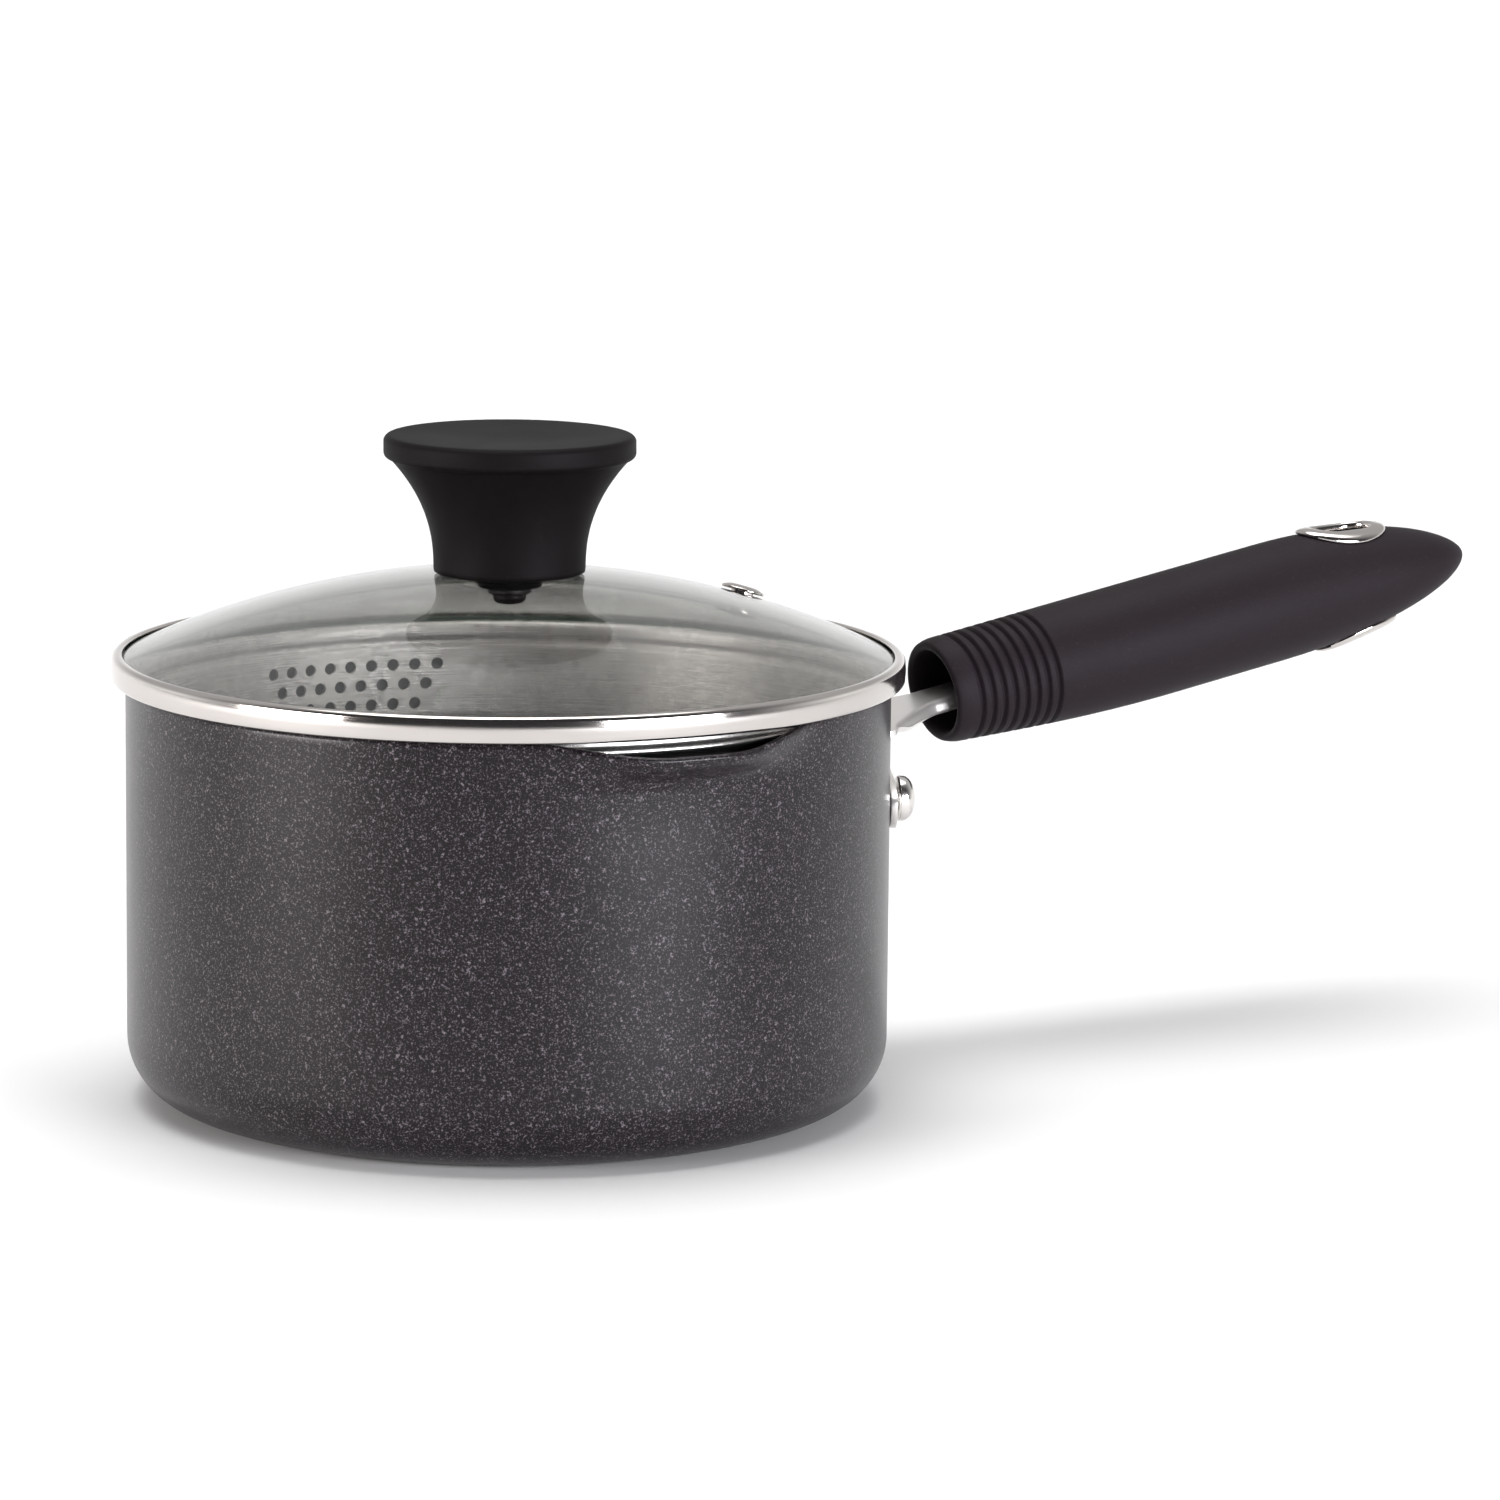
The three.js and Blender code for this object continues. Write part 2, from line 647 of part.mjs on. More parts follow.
function buildVent() {
  const tubeR = ventBoreR + ventTube;
  const seat = gap;
  const ringTop = -glassThickness - sagOfDome(domeInnerR, ventFlangeR) - gap;
  const ringBottom = ringTop - ventFlangeHeight;
  const upper = turned(
    [
      point(ventBoreR, ringBottom),
      point(tubeR, ringBottom),
      point(tubeR, seat),
      point(ventFlangeR, seat),
      point(ventFlangeR, seat + ventFlangeHeight * 0.4),
      point(ventFlangeR * 0.8, seat + ventFlangeHeight * 0.85),
      point(tubeR, seat + ventFlangeHeight),
      point(ventBoreR, seat + ventFlangeHeight * 0.7),
    ],
    smallSegments,
  );
  const lower = ring(tubeR + gap, ventFlangeR, ringBottom, ringTop);
  add(lid, "vent_grommet_upper", solidOf(upper.applyMatrix4(ventPlace)), stainless);
  add(lid, "vent_grommet_lower", solidOf(lower.applyMatrix4(ventPlace)), stainless);
}

// ---------------------------------------------------------------- knob
const stemHeight = knobHeight - knobRimHeight;

// Radius of the flared stem at a height over the knob's base.
const stemRadius = (height) => knobBaseR + knobFlare * Math.max(height / stemHeight, 0) ** 1.8;
const knobRecessR = knobGasketR + gap;
const knobRecessTop = glassTop + gap + knobGasketHeight + gap;
const insertTop = knobRecessTop + gap + insertLength;
const coreTop = knobHeight - knobShell - knobDish;

function buildKnob() {
  const rimLow = stemHeight + knobRimRound * 0.4;
  const shell = [
    point(stemRadius(0) - knobShell, 0),
    ...along(0, stemHeight, 7, stemRadius),
    point(knobRimR - knobRimRound * 0.3, rimLow),
    point(knobRimR, rimLow + knobRimRound * 0.5),
    ...arc(knobRimR - knobRimRound, knobHeight - knobRimRound, knobRimRound, 0, 90, 3),
    point(knobRimR * 0.7, knobHeight - knobDish * 0.8),
    point(0, knobHeight - knobDish),
    point(0, coreTop),
    point(stemRadius(stemHeight) - knobShell, coreTop),
    ...along(stemHeight, stemHeight / 4, 4, (z) => stemRadius(z) - knobShell),
  ].map(({ x, y }) => point(x, y + knobBase));
  add(knob, "knob_grip", solidOf(turned(shell, knobSegments)), softTouch);

  const coreStem = (height) => stemRadius(height) - knobShell - gap;
  const core = [
    point(knobRecessR, knobBase),
    ...along(0, stemHeight, 4, coreStem).map(({ x, y }) => point(x, y + knobBase)),
    point(coreStem(stemHeight), coreTop - gap + knobBase),
    point(0, coreTop - gap + knobBase),
    point(0, insertTop + gap),
    point(insertR + gap, insertTop + gap),
    point(insertR + gap, knobRecessTop),
    point(knobRecessR, knobRecessTop),
  ];
  add(knob, "knob_core", solidOf(turned(core, knobSegments)), hardPlastic);
  const insert = ring(screwR + gap, insertR, insertTop - insertLength, insertTop);
  add(knob, "knob_insert", solidOf(insert), brass);
  const gasketBottom = glassTop + gap;
  const gasket = ring(screwHoleR, knobGasketR, gasketBottom, gasketBottom + knobGasketHeight);
  add(knob, "knob_gasket", solidOf(gasket), silicone);
}

function buildKnobScrew() {
  const headTop = washerBottom - gap;
  const screw = [
    point(0, headTop - screwHeadHeight),
    point(screwHeadR * 0.7, headTop - screwHeadHeight),
    point(screwHeadR, headTop - screwHeadHeight / 2),
    point(screwHeadR, headTop),
    point(screwR, headTop),
    point(screwR, insertTop - screwR),
    point(0, insertTop - screwR),
  ];
  const cone = [
    point(screwHoleR, lowerGasketBottom),
    point(lowerGasketR * 0.72, lowerGasketBottom),
    point(lowerGasketR, lowerGasketBottom + lowerGasketHeight * 0.8),
    point(lowerGasketR, lowerGasketTop),
    point(screwHoleR, lowerGasketTop),
  ];
  const washer = ring(screwHoleR, washerR, washerBottom, washerBottom + washerThickness);
  add(knob, "knob_screw", solidOf(turned(screw, smallSegments)), stainless);
  add(knob, "screw_washer", solidOf(washer), stainless);
  add(knob, "lower_gasket", solidOf(turned(cone, smallSegments)), silicone);
}

buildPan();
buildBracket();
buildRivets();
buildGrip();
buildCore();
buildTangScrew();
buildEyelet();
buildGlass();
buildRimBand();
buildSkirt();
buildVent();
buildKnob();
buildKnobScrew();

export default saucepan;
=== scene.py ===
# %% [markdown]
# # A saucepan with a straining glass lid
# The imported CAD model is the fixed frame: it says where every part sits and what moves. This lesson
# dresses it. Round pieces are turned from finer profiles than the CAD needs, and every finish is made
# from nodes.

# %% Load the frame
import math

import bmesh
import bpy
from mathutils import Matrix, Vector


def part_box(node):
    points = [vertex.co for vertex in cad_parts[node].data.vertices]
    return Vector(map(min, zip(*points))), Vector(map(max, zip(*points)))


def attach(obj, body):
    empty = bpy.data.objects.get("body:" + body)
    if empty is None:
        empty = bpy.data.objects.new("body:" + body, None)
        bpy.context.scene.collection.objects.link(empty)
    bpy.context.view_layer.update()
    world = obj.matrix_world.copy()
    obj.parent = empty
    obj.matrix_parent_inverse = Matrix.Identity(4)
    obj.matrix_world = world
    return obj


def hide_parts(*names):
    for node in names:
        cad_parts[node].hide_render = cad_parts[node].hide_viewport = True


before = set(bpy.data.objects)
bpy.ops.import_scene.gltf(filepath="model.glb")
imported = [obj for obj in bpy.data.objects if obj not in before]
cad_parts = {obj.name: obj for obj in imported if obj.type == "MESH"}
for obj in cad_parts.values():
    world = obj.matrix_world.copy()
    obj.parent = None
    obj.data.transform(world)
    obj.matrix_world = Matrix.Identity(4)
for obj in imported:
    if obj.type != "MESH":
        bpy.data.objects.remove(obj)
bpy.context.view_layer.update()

# %% [markdown]
# ## The view
# The camera comes first, because it decides how much detail each piece needs. A long lens from well back
# keeps the pan's sides upright. The view is low, a hand's breadth over the knob, with the handle pointing
# away to the right.

# %% Units and the camera
MM = 0.001
VIEW_TURN = math.radians(27)  # handle's direction seen from above, away from straight across the view
VIEW_DISTANCE, VIEW_SIDE, VIEW_HEIGHT = 1479.5 * MM, -5.87 * MM, 334 * MM
VIEW_YAW, VIEW_PITCH, VIEW_ROLL = 0.039, -0.173, 0.010
LENS, SENSOR = 167.68, 36.0


def aim_camera():
    forward = Vector((math.sin(VIEW_YAW) * math.cos(VIEW_PITCH), math.cos(VIEW_YAW) * math.cos(VIEW_PITCH),
                      math.sin(VIEW_PITCH)))
    across = Vector((math.cos(VIEW_YAW), -math.sin(VIEW_YAW), 0))
    up = across.cross(forward)
    right = across * math.cos(VIEW_ROLL) + up * math.sin(VIEW_ROLL)
    top = up * math.cos(VIEW_ROLL) - across * math.sin(VIEW_ROLL)
    turn = Matrix.Rotation(-VIEW_TURN, 4, "Z")
    facing = Matrix((right, top, -forward)).transposed().to_4x4()
    place = Matrix.Translation((VIEW_SIDE, -VIEW_DISTANCE, VIEW_HEIGHT))
    camera_data = bpy.data.cameras.new("view")
    camera_data.lens, camera_data.sensor_width, camera_data.clip_end = LENS, SENSOR, 40
    camera = bpy.data.objects.new("view", camera_data)
    camera.matrix_world = turn @ place @ facing
    bpy.context.collection.objects.link(camera)
    bpy.context.scene.camera = camera
    print("camera stands at", [round(v, 3) for v in camera.matrix_world.translation])


aim_camera()

# %% [markdown]
# ## Shader maths
# A finish is a sum of small decisions: this fleck is lighter, that streak is rougher. Nodes wired one by
# one hide such a sum, so one small class wraps a socket and lets an ordinary expression add its Math
# nodes. Every other node comes from one method that takes its type, its settings and what its sockets
# get.

# %% A socket that can be added and multiplied
class Value:
    def __init__(self, finish, socket):
        self.finish, self.socket = finish, socket

    def math(self, operation, *inputs):
        return self.finish.node("Math", {"operation": operation}, dict(enumerate(inputs)))

    def __add__(self, other):
        return self.math("ADD", self, other)

    def __radd__(self, other):
        return self.math("ADD", other, self)

    def __sub__(self, other):
        return self.math("SUBTRACT", self, other)

    def __rsub__(self, other):
        return self.math("SUBTRACT", other, self)

    def __mul__(self, other):
        return self.math("MULTIPLY", self, other)

    def __rmul__(self, other):
        return self.math("MULTIPLY", other, self)

    def sine(self):
        return self.math("SINE", self)


# %% A finish: one material and its node tree
class Finish:
    def __init__(self, name, world=None):
        self.block = world or bpy.data.materials.new(name)
        self.block.use_nodes = True
        self.tree = self.block.node_tree
        self.tree.nodes.clear()

    def node(self, kind, settings=None, sockets=None, output=0):
        made = self.tree.nodes.new("ShaderNode" + kind)
        for setting, value in (settings or {}).items():
            setattr(made, setting, value)
        for socket, value in (sockets or {}).items():
            if isinstance(value, Value):
                self.tree.links.new(value.socket, made.inputs[socket])
            else:
                made.inputs[socket].default_value = value
        return Value(self, made.outputs[output]) if len(made.outputs) else None

    def place(self, squeeze=(1, 1, 1)):
        spot = self.node("TexCoord", output="Object")
        return self.node("Mapping", {"vector_type": "POINT"}, {"Vector": spot, "Scale": squeeze})

    def noise(self, vector, scale, detail=2.0, roughness=0.5):
        return self.node("TexNoise", {"noise_dimensions": "3D"},
                         {"Vector": vector, "Scale": scale, "Detail": detail, "Roughness": roughness})

    def blend(self, mask, low, high):
        colours = {"Factor": mask, 6: low if isinstance(low, Value) else (*low, 1),
                   7: high if isinstance(high, Value) else (*high, 1)}
        return self.node("Mix", {"data_type": "RGBA", "clamp_factor": True}, colours, output=2)

    def between(self, value, low, high):
        return self.node("MapRange", {"clamp": True},
                         {"Value": value, "From Min": low, "From Max": high, "To Min": 0.0, "To Max": 1.0})

    def bump(self, height, strength, distance):
        return self.node("Bump", None, {"Height": height, "Strength": strength, "Distance": distance})

    def surface(self, shader):
        self.node("OutputMaterial", None, {"Surface": shader})
        return self.block

    def skin(self, **sockets):
        """The main shader; Base_Color stands for its Base Color socket, and so on."""
        return self.node("BsdfPrincipled", None, {name.replace("_", " "): v for name, v in sockets.items()})


print("Value and Finish are ready")

# %% [markdown]
# ## The coating
# The pan is pressed from aluminium and sprayed outside with a charcoal enamel that carries pale flecks,
# each under half a millimetre long. Noise at two scales, cut off high, leaves worm-shaped flecks rather
# than round dots, which is how they dry. The satin lacquer over them reflects the room softly, so the
# flecks also change its roughness.

# %% Charcoal enamel with flecks
def speckled_coating():
    finish = Finish("speckled_coating")
    place = finish.place()
    fine = finish.between(finish.noise(place, 2500, 3, 0.65), 0.56, 0.68)
    coarse = finish.between(finish.noise(place, 1400, 2, 0.6), 0.60, 0.70)
    flecks = fine * 0.6 + coarse * 0.6
    cloud = finish.noise(place, 45, 3)
    ground = finish.blend(cloud, (0.0018, 0.0008, 0.0016), (0.0040, 0.0022, 0.0038))
    colour = finish.blend(flecks, ground, (0.205, 0.176, 0.200))
    rough = 0.31 + flecks * 0.12 + (cloud - 0.5) * 0.08
    relief = finish.bump(fine + finish.noise(place, 400, 2) * 0.6, 0.25, 0.00008)
    shader = finish.skin(Base_Color=colour, Roughness=rough, Metallic=0.0, Specular_IOR_Level=0.22,
                         Coat_Weight=0.20, Coat_Roughness=0.20, Normal=relief)
    return finish.surface(shader)


coating = speckled_coating()
print("made", coating.name)

# %% [markdown]
# The inside is a dark blue-black non-stick layer. It is smoother than the outside, with fine turning
# rings on the floor of the pan, left by the disc before it was drawn. The rings only show as a faint
# roughness change.

# %% Non-stick inside
def nonstick_coating():
    finish = Finish("nonstick_coating")
    place = finish.place()
    flat = finish.place((1, 1, 0))
    distance = finish.node("VectorMath", {"operation": "LENGTH"}, {0: flat}, output="Value")
    rings = (distance * 4200).sine()
    specks = finish.between(finish.noise(place, 1300, 2), 0.64, 0.72)
    colour = finish.blend(specks, (0.0105, 0.0125, 0.020), (0.055, 0.06, 0.075))
    rough = 0.30 + rings * 0.03 + finish.noise(place, 60, 3) * 0.12
    relief = finish.bump(rings * 0.3 + finish.noise(place, 900, 2), 0.2, 0.00005)
    shader = finish.skin(Base_Color=colour, Roughness=rough, Metallic=0.0, Coat_Weight=0.2,
                         Coat_Roughness=0.15, Normal=relief)
    return finish.surface(shader)


nonstick = nonstick_coating()
print("made", nonstick.name)

# %% [markdown]
# ## Stainless steel
# The steels here are one metal, finished in different ways. The rim band and the eyelets are buffed
# bright, the rivets are tumbled, and the bracket is satin, so it blurs what it reflects. The skirt is
# rolled sheet with fine lines round it; its outside is painted darker, a painted shade for the dark pan
# it faces. One function makes them all, and it makes the dark steel of the screw and washer, painted near
# black as painted shade for the dark under the knob, and the brass too. A rough sheet also scatters
# light, and lowering Metallic a little gives that.

# %% One metal, several finishes
BARE_STEEL = (0.80, 0.775, 0.75)
ALONG_THE_RIM, EVERY_WAY = (1, 1, 60), (1, 1, 1)  # how the streaks are stretched


def steel(name, rough, streak, colour=BARE_STEEL, relief_depth=0.000008, squeeze=ALONG_THE_RIM, metal=1.0):
    finish = Finish(name)
    lines = finish.noise(finish.place(squeeze), 90, 4, 0.65)
    smears = finish.noise(finish.place(), 55, 3, 0.6)
    shade = finish.blend(smears, tuple(c * 0.93 for c in colour), tuple(min(c * 1.05, 1) for c in colour))
    roughness = rough + (lines - 0.5) * streak + (smears - 0.5) * rough * 0.6
    relief = finish.bump(lines, 1.0, relief_depth)
    shader = finish.skin(Base_Color=shade, Roughness=roughness, Metallic=metal, Normal=relief)
    return finish.surface(shader)


buffed_steel = steel("buffed_steel", 0.11, 0.06, colour=(0.64, 0.605, 0.58), relief_depth=0.000002)
rolled_steel = steel("rolled_steel", 0.27, 0.10, colour=(0.93, 0.905, 0.88), relief_depth=0.00014,
                     squeeze=(0.5, 0.5, 55), metal=0.64)
# Painted shade: the skirt's outside is coloured darker than bare steel, for the dark pan it faces and
# reflects.
shaded_steel = steel("shaded_steel", 0.24, 0.08, colour=(0.45, 0.44, 0.43), relief_depth=0.00002)
tumbled_steel = steel("tumbled_steel", 0.20, 0.08, squeeze=EVERY_WAY)
satin_steel = steel("satin_steel", 0.36, 0.10, squeeze=EVERY_WAY, metal=0.85)
# Painted shade: the screw and washer are stainless, coloured near black for the dark they sit in under the
# knob.
dark_steel_painted_shade = steel("dark_steel_painted_shade", 0.24, 0.08, colour=(0.09, 0.085, 0.085), squeeze=EVERY_WAY)
brass = steel("brass", 0.22, 0.08, colour=(0.62, 0.44, 0.19))
print("made six steels and the brass")

# %% [markdown]
# ## Soft-touch plastic and rubber
# The grip and the knob feel like rubber: a hard core under a soft black layer with a fine matt grain. The
# grain is a bump a few tenths of a millimetre across, and slow patches of roughness stand for where hands
# have rubbed it.

# %% Matt black pieces
def matt_plastic(name, colour, rough, gloss, grain=2600, depth=0.00006):
    finish = Finish(name)
    place = finish.place()
    dust = finish.between(finish.noise(place, 1700, 2), 0.60, 0.74)
    handled = finish.noise(place, 30, 3, 0.55)
    ground = finish.blend(handled, tuple(c * 0.88 for c in colour), tuple(c * 1.12 for c in colour))
    shade = finish.blend(dust * 0.35, ground, tuple(min(c * 2.6, 1) for c in colour))
    relief = finish.bump(finish.noise(place, grain, 2, 0.6), 0.5, depth)
    shader = finish.skin(Base_Color=shade, Roughness=rough + (handled - 0.5) * 0.16, Specular_IOR_Level=gloss,
                         Normal=relief)
    return finish.surface(shader)


soft_grip = matt_plastic("soft_grip", (0.0132, 0.0088, 0.0118), 0.62, 0.15)
# The knob is the grip's soft black, painted darker: a painted shade for the dimmer light on the knob's sides.
soft_knob_painted_shade = matt_plastic("soft_knob_painted_shade", (0.0036, 0.0025, 0.0030), 0.60, 0.10)
hard_plastic = matt_plastic("hard_plastic", (0.008, 0.0075, 0.008), 0.45, 0.4, grain=900, depth=0.00002)
silicone = matt_plastic("silicone", (0.005, 0.0048, 0.005), 0.4, 0.4, grain=700, depth=0.00002)
print("made four dark plastics")

# %% [markdown]
# ## Glass
# The lid is clear tempered glass, three millimetres thick, so what is under it shows with little bending.
# The slight green of its grey is the glass's own; the depth of the grey is painted shade, standing in for
# the dim room that the dome reflects. Light for the inside of the pan passes straight through for shadow
# rays, because waiting for it to find its way through two bent surfaces would only give grain.
# The edge, ground before tempering, is darker and greener, as every glass edge is.

# %% Clear pane and its ground edge
def clear_glass():
    finish = Finish("clear_glass")
    # Painted shade: this dark grey darkens all that shows through the pane, for the dim room it reflects.
    tint = (0.49, 0.49, 0.475)
    smears = finish.noise(finish.place(), 40, 4, 0.6)
    relief = finish.bump(finish.noise(finish.place(), 25, 1), 0.06, 0.0004)
    pane = finish.skin(Base_Color=(*tint, 1), Roughness=0.004 + smears * 0.02, IOR=1.47,
                       Transmission_Weight=1.0, Normal=relief)
    clear = finish.node("BsdfTransparent", None, {"Color": (0.93, 0.93, 0.92, 1)})
    shadow = finish.node("LightPath", output="Is Shadow Ray")
    return finish.surface(finish.node("MixShader", None, {0: shadow, 1: pane, 2: clear}))


def ground_edge():
    finish = Finish("ground_edge")
    grain = finish.noise(finish.place(), 1400, 3)
    colour = finish.blend(grain, (0.035, 0.07, 0.05), (0.07, 0.12, 0.09))
    relief = finish.bump(grain, 0.3, 0.00005)
    shader = finish.skin(Base_Color=colour, Roughness=0.3 + grain * 0.2, Normal=relief)
    return finish.surface(shader)


pane_glass, edge_glass = clear_glass(), ground_edge()
print("made", pane_glass.name, "and", edge_glass.name)

# %% [markdown]
# ## Making meshes
# Nearly everything here is turned or pressed, so most pieces are a skin over rings of points. A turned
# piece is a profile of radius and height swept round the axis. A ring with one point is the pole that
# closes a cap. Holes are cut with booleans. They can leave slivers, so every cut mesh is cleaned before
# it settles on its body.

# %% A skin over rings
def link(name, shape, *finishes):
    """Turn a bmesh into an object in the scene, with its finishes in order."""
    mesh = bpy.data.meshes.new(name)
    shape.to_mesh(mesh)
    shape.free()
    for finish in finishes:
        mesh.materials.append(finish)
    piece = bpy.data.objects.new(name, mesh)
    bpy.context.collection.objects.link(piece)
    return piece


def skin_over(name, rings, finishes, joined=False, finish_of=lambda row: 0, sharp=40):
    shape = bmesh.new()
    made = [[shape.verts.new(point) for point in ring] for ring in rings]
    pairs = list(zip(made, made[1:])) + ([(made[-1], made[0])] if joined else [])
    for row, (low, high) in enumerate(pairs):
        count = max(len(low), len(high))
        if count == 1:
            continue
        for i in range(count):
            j = (i + 1) % count
            corners = [low[i % len(low)], low[j % len(low)], high[j % len(high)], high[i % len(high)]]
            face = shape.faces.new(list(dict.fromkeys(corners)))
            face.material_index, face.smooth = finish_of(row), True
    bmesh.ops.recalc_face_normals(shape, faces=shape.faces)
    piece = link(name, shape, *finishes)
    piece.data.set_sharp_from_angle(angle=math.radians(sharp))
    return piece


def turned(name, profile, finishes, segments=128, place=Matrix.Identity(4), **options):
    """A profile of (radius, height) in millimetres swept round Z, then put in place."""
    rings = []
    for r, z in profile:
        steps = 1 if r == 0 else segments
        angles = [2 * math.pi * i / segments for i in range(steps)]
        rings.append([place @ (Vector((r * math.cos(a), r * math.sin(a), z)) * MM) for a in angles])
    return skin_over(name, rings, finishes, **options)


def arc(r, z, radius, start, end, steps):
    """Points on an arc about (r, z), between two angles in degrees."""
    angles = [math.radians(start + (end - start) * i / steps) for i in range(steps + 1)]
    return [(r + radius * math.cos(a), z + radius * math.sin(a)) for a in angles]


def spread(start, end, steps):
    return [start + (end - start) * i / steps for i in range(steps + 1)]


def smooth(t):
    """Ease from 0 to 1 while t goes from 0 to 1."""
    held = min(max(t, 0.0), 1.0)
    return held * held * (3 - 2 * held)


# %% Cutting holes and settling a piece on its body
CLOSE, THINNEST, CRUMB = 0.000004, 0.000002, 12  # metres, metres, faces


def tidy_up(mesh):
    """Close points are merged, many-sided faces are split and loose crumbs are removed."""
    shape = bmesh.new()
    shape.from_mesh(mesh)
    bmesh.ops.remove_doubles(shape, verts=shape.verts, dist=CLOSE)
    bmesh.ops.dissolve_degenerate(shape, edges=shape.edges, dist=THINNEST)
    many_sided = [face for face in shape.faces if len(face.verts) > 4]
    bmesh.ops.triangulate(shape, faces=many_sided, quad_method="BEAUTY", ngon_method="BEAUTY")
    waiting = set(shape.faces)
    while waiting:
        island, edge = set(), [waiting.pop()]
        while edge:
            face = edge.pop()
            island.add(face)
            joins = [side for side in face.edges if len(side.link_faces) == 2]
            near = {other for side in joins for other in side.link_faces} & waiting
            waiting -= near
            edge += near
        if len(island) < CRUMB:
            bmesh.ops.delete(shape, geom=list(island), context="FACES")
    print("edges left open:", len([side for side in shape.edges if not side.is_manifold]))
    shape.to_mesh(mesh)
    shape.free()


def cut(piece, *cutters):
    for cutter in cutters:
        modifier = piece.modifiers.new("cut", "BOOLEAN")
        modifier.operation, modifier.solver, modifier.object = "DIFFERENCE", "EXACT", cutter
    bpy.context.view_layer.update()
    seen = piece.evaluated_get(bpy.context.evaluated_depsgraph_get())
    mesh = bpy.data.meshes.new_from_object(seen)
    piece.modifiers.clear()
    old, piece.data = piece.data, mesh
    bpy.data.meshes.remove(old)
    for cutter in cutters:
        bpy.data.objects.remove(cutter)
    tidy_up(mesh)
    return piece


def settle(piece, body, slot, *nodes):
    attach(piece, body)
    if nodes:
        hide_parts(*nodes)
    print(piece.name, "rides on", body, "with", len(piece.data.polygons), "faces")
    return piece


# %% [markdown]
# ## Sizes
# These repeat the driving sizes of the CAD source in millimetres, since this script only sees the packed
# model.

# %% Pan, lid, knob and handle sizes
GAP, LOOSE = 0.3, 0.6
PAN_R, PAN_HEIGHT, PAN_WALL, BASE_THICK, BASE_CORNER = 82, 90.6, 2, 3.2, 14
SPOUT_HALF, SPOUT_REACH, SPOUT_DIP, SPOUT_FADE = math.radians(21), 5.97, 3, 11
SPOUT_SHOULDER = 1.2 * SPOUT_HALF  # where a lip starts to lean out
SHEET, BAND_FOLD, BAND_R = 0.6, 2.4, 85.1
DOME_R, GLASS_THICK = 195, 3
SKIRT_R, SKIRT_DEPTH, BEAD_REACH, BEAD_HEIGHT, BEAD_DROP = 78.6, 21, 0.7, 3.6, 3.1
BAND_BOTTOM = PAN_HEIGHT + GAP
GLASS_EDGE_R = BAND_R - SHEET - LOOSE
KNOB_HEIGHT, KNOB_BASE_R, KNOB_FLARE, KNOB_RIM_R, KNOB_RIM_HEIGHT = 28.7, 16.3, 9.2, 27, 5.2
SLOPE = math.radians(10.3)
MOUTH_DISTANCE, MOUTH_HEIGHT = 106, 78.8
GRIP_LENGTH, GRIP_MOUTH_R, GRIP_R, GRIP_SWELL, GRIP_TAPER = 142.7, 11.8, 13.6, 60, 53
PAN_INNER_R = PAN_R - PAN_WALL
BAND_INNER_R = SKIRT_R + LOOSE


def on_sphere(radius, distance):
    return math.sqrt(radius * radius - distance * distance)


DOME_CENTRE = BAND_BOTTOM + SHEET + GAP - on_sphere(DOME_R - GLASS_THICK, GLASS_EDGE_R)
GLASS_TOP = DOME_CENTRE + DOME_R
GLASS_UNDER = GLASS_TOP - GLASS_THICK
KNOB_BASE = GLASS_TOP + LOOSE

# %% [markdown]
# ## The pan
# The real pan is drawn from one aluminium disc, so wall, corner and base are one skin with a rounded
# corner. The two pouring lips are pressed outwards near the rim. Turning the profile and then leaning the
# rows near the rim outwards repeats that order, and keeps the wall perfectly round below them. Rings
# turned into the base are real grooves.

# %% Lean the rim into two pouring lips
def lean_into_lips(point):
    x, y, z = point / MM
    fade = smooth((z - PAN_HEIGHT + SPOUT_FADE) / SPOUT_FADE)
    from_lip = abs(abs(math.atan2(y, x)) - math.pi / 2)
    strength = fade * smooth((SPOUT_SHOULDER - from_lip) / SPOUT_HALF)
    r = math.hypot(x, y)
    scale = 1 + SPOUT_REACH * strength / r if r > 0 else 1
    return Vector((x * scale, y * scale, z - SPOUT_DIP * strength)) * MM


lip_point = lean_into_lips(Vector((0, PAN_R, PAN_HEIGHT)) * MM) / MM
print("the lips reach", round(lip_point.y - PAN_R, 2), "mm out and dip", round(PAN_HEIGHT - lip_point.z, 2))


# %% Profile and rivet holes
EAR_ANGLE, EAR_HEIGHT, EAR_R, EAR_SHANK_R = math.radians(22), 63.5, 6.5, 2.4
BRACKET_SHEET = 1.7
PLATE_R = PAN_R + GAP + BRACKET_SHEET


def rivet_place(side):
    return (Matrix.Translation((0, 0, EAR_HEIGHT * MM)) @ Matrix.Rotation(side * EAR_ANGLE, 4, "Z")
            @ Matrix.Rotation(math.pi / 2, 4, "Y"))


def rivet_holes():
    r, near, far = EAR_SHANK_R + GAP, PAN_R - 8, PAN_R + 6
    profile = [(0, near), (r, near), (r, far), (0, far)]
    return [turned("hole", profile, [], 30, rivet_place(side)) for side in (-1, 1)]


RING_TOP, RING_FOOT, RING_DEPTH = 0.4, 0.9, 0.35


def base_rings():
    points = [(0, 0.0)]
    for r in range(14, 55, 10):
        points += [(r - RING_FOOT, 0.0), (r - RING_TOP, RING_DEPTH)]
        points += [(r + RING_TOP, RING_DEPTH), (r + RING_FOOT, 0.0)]
    return points


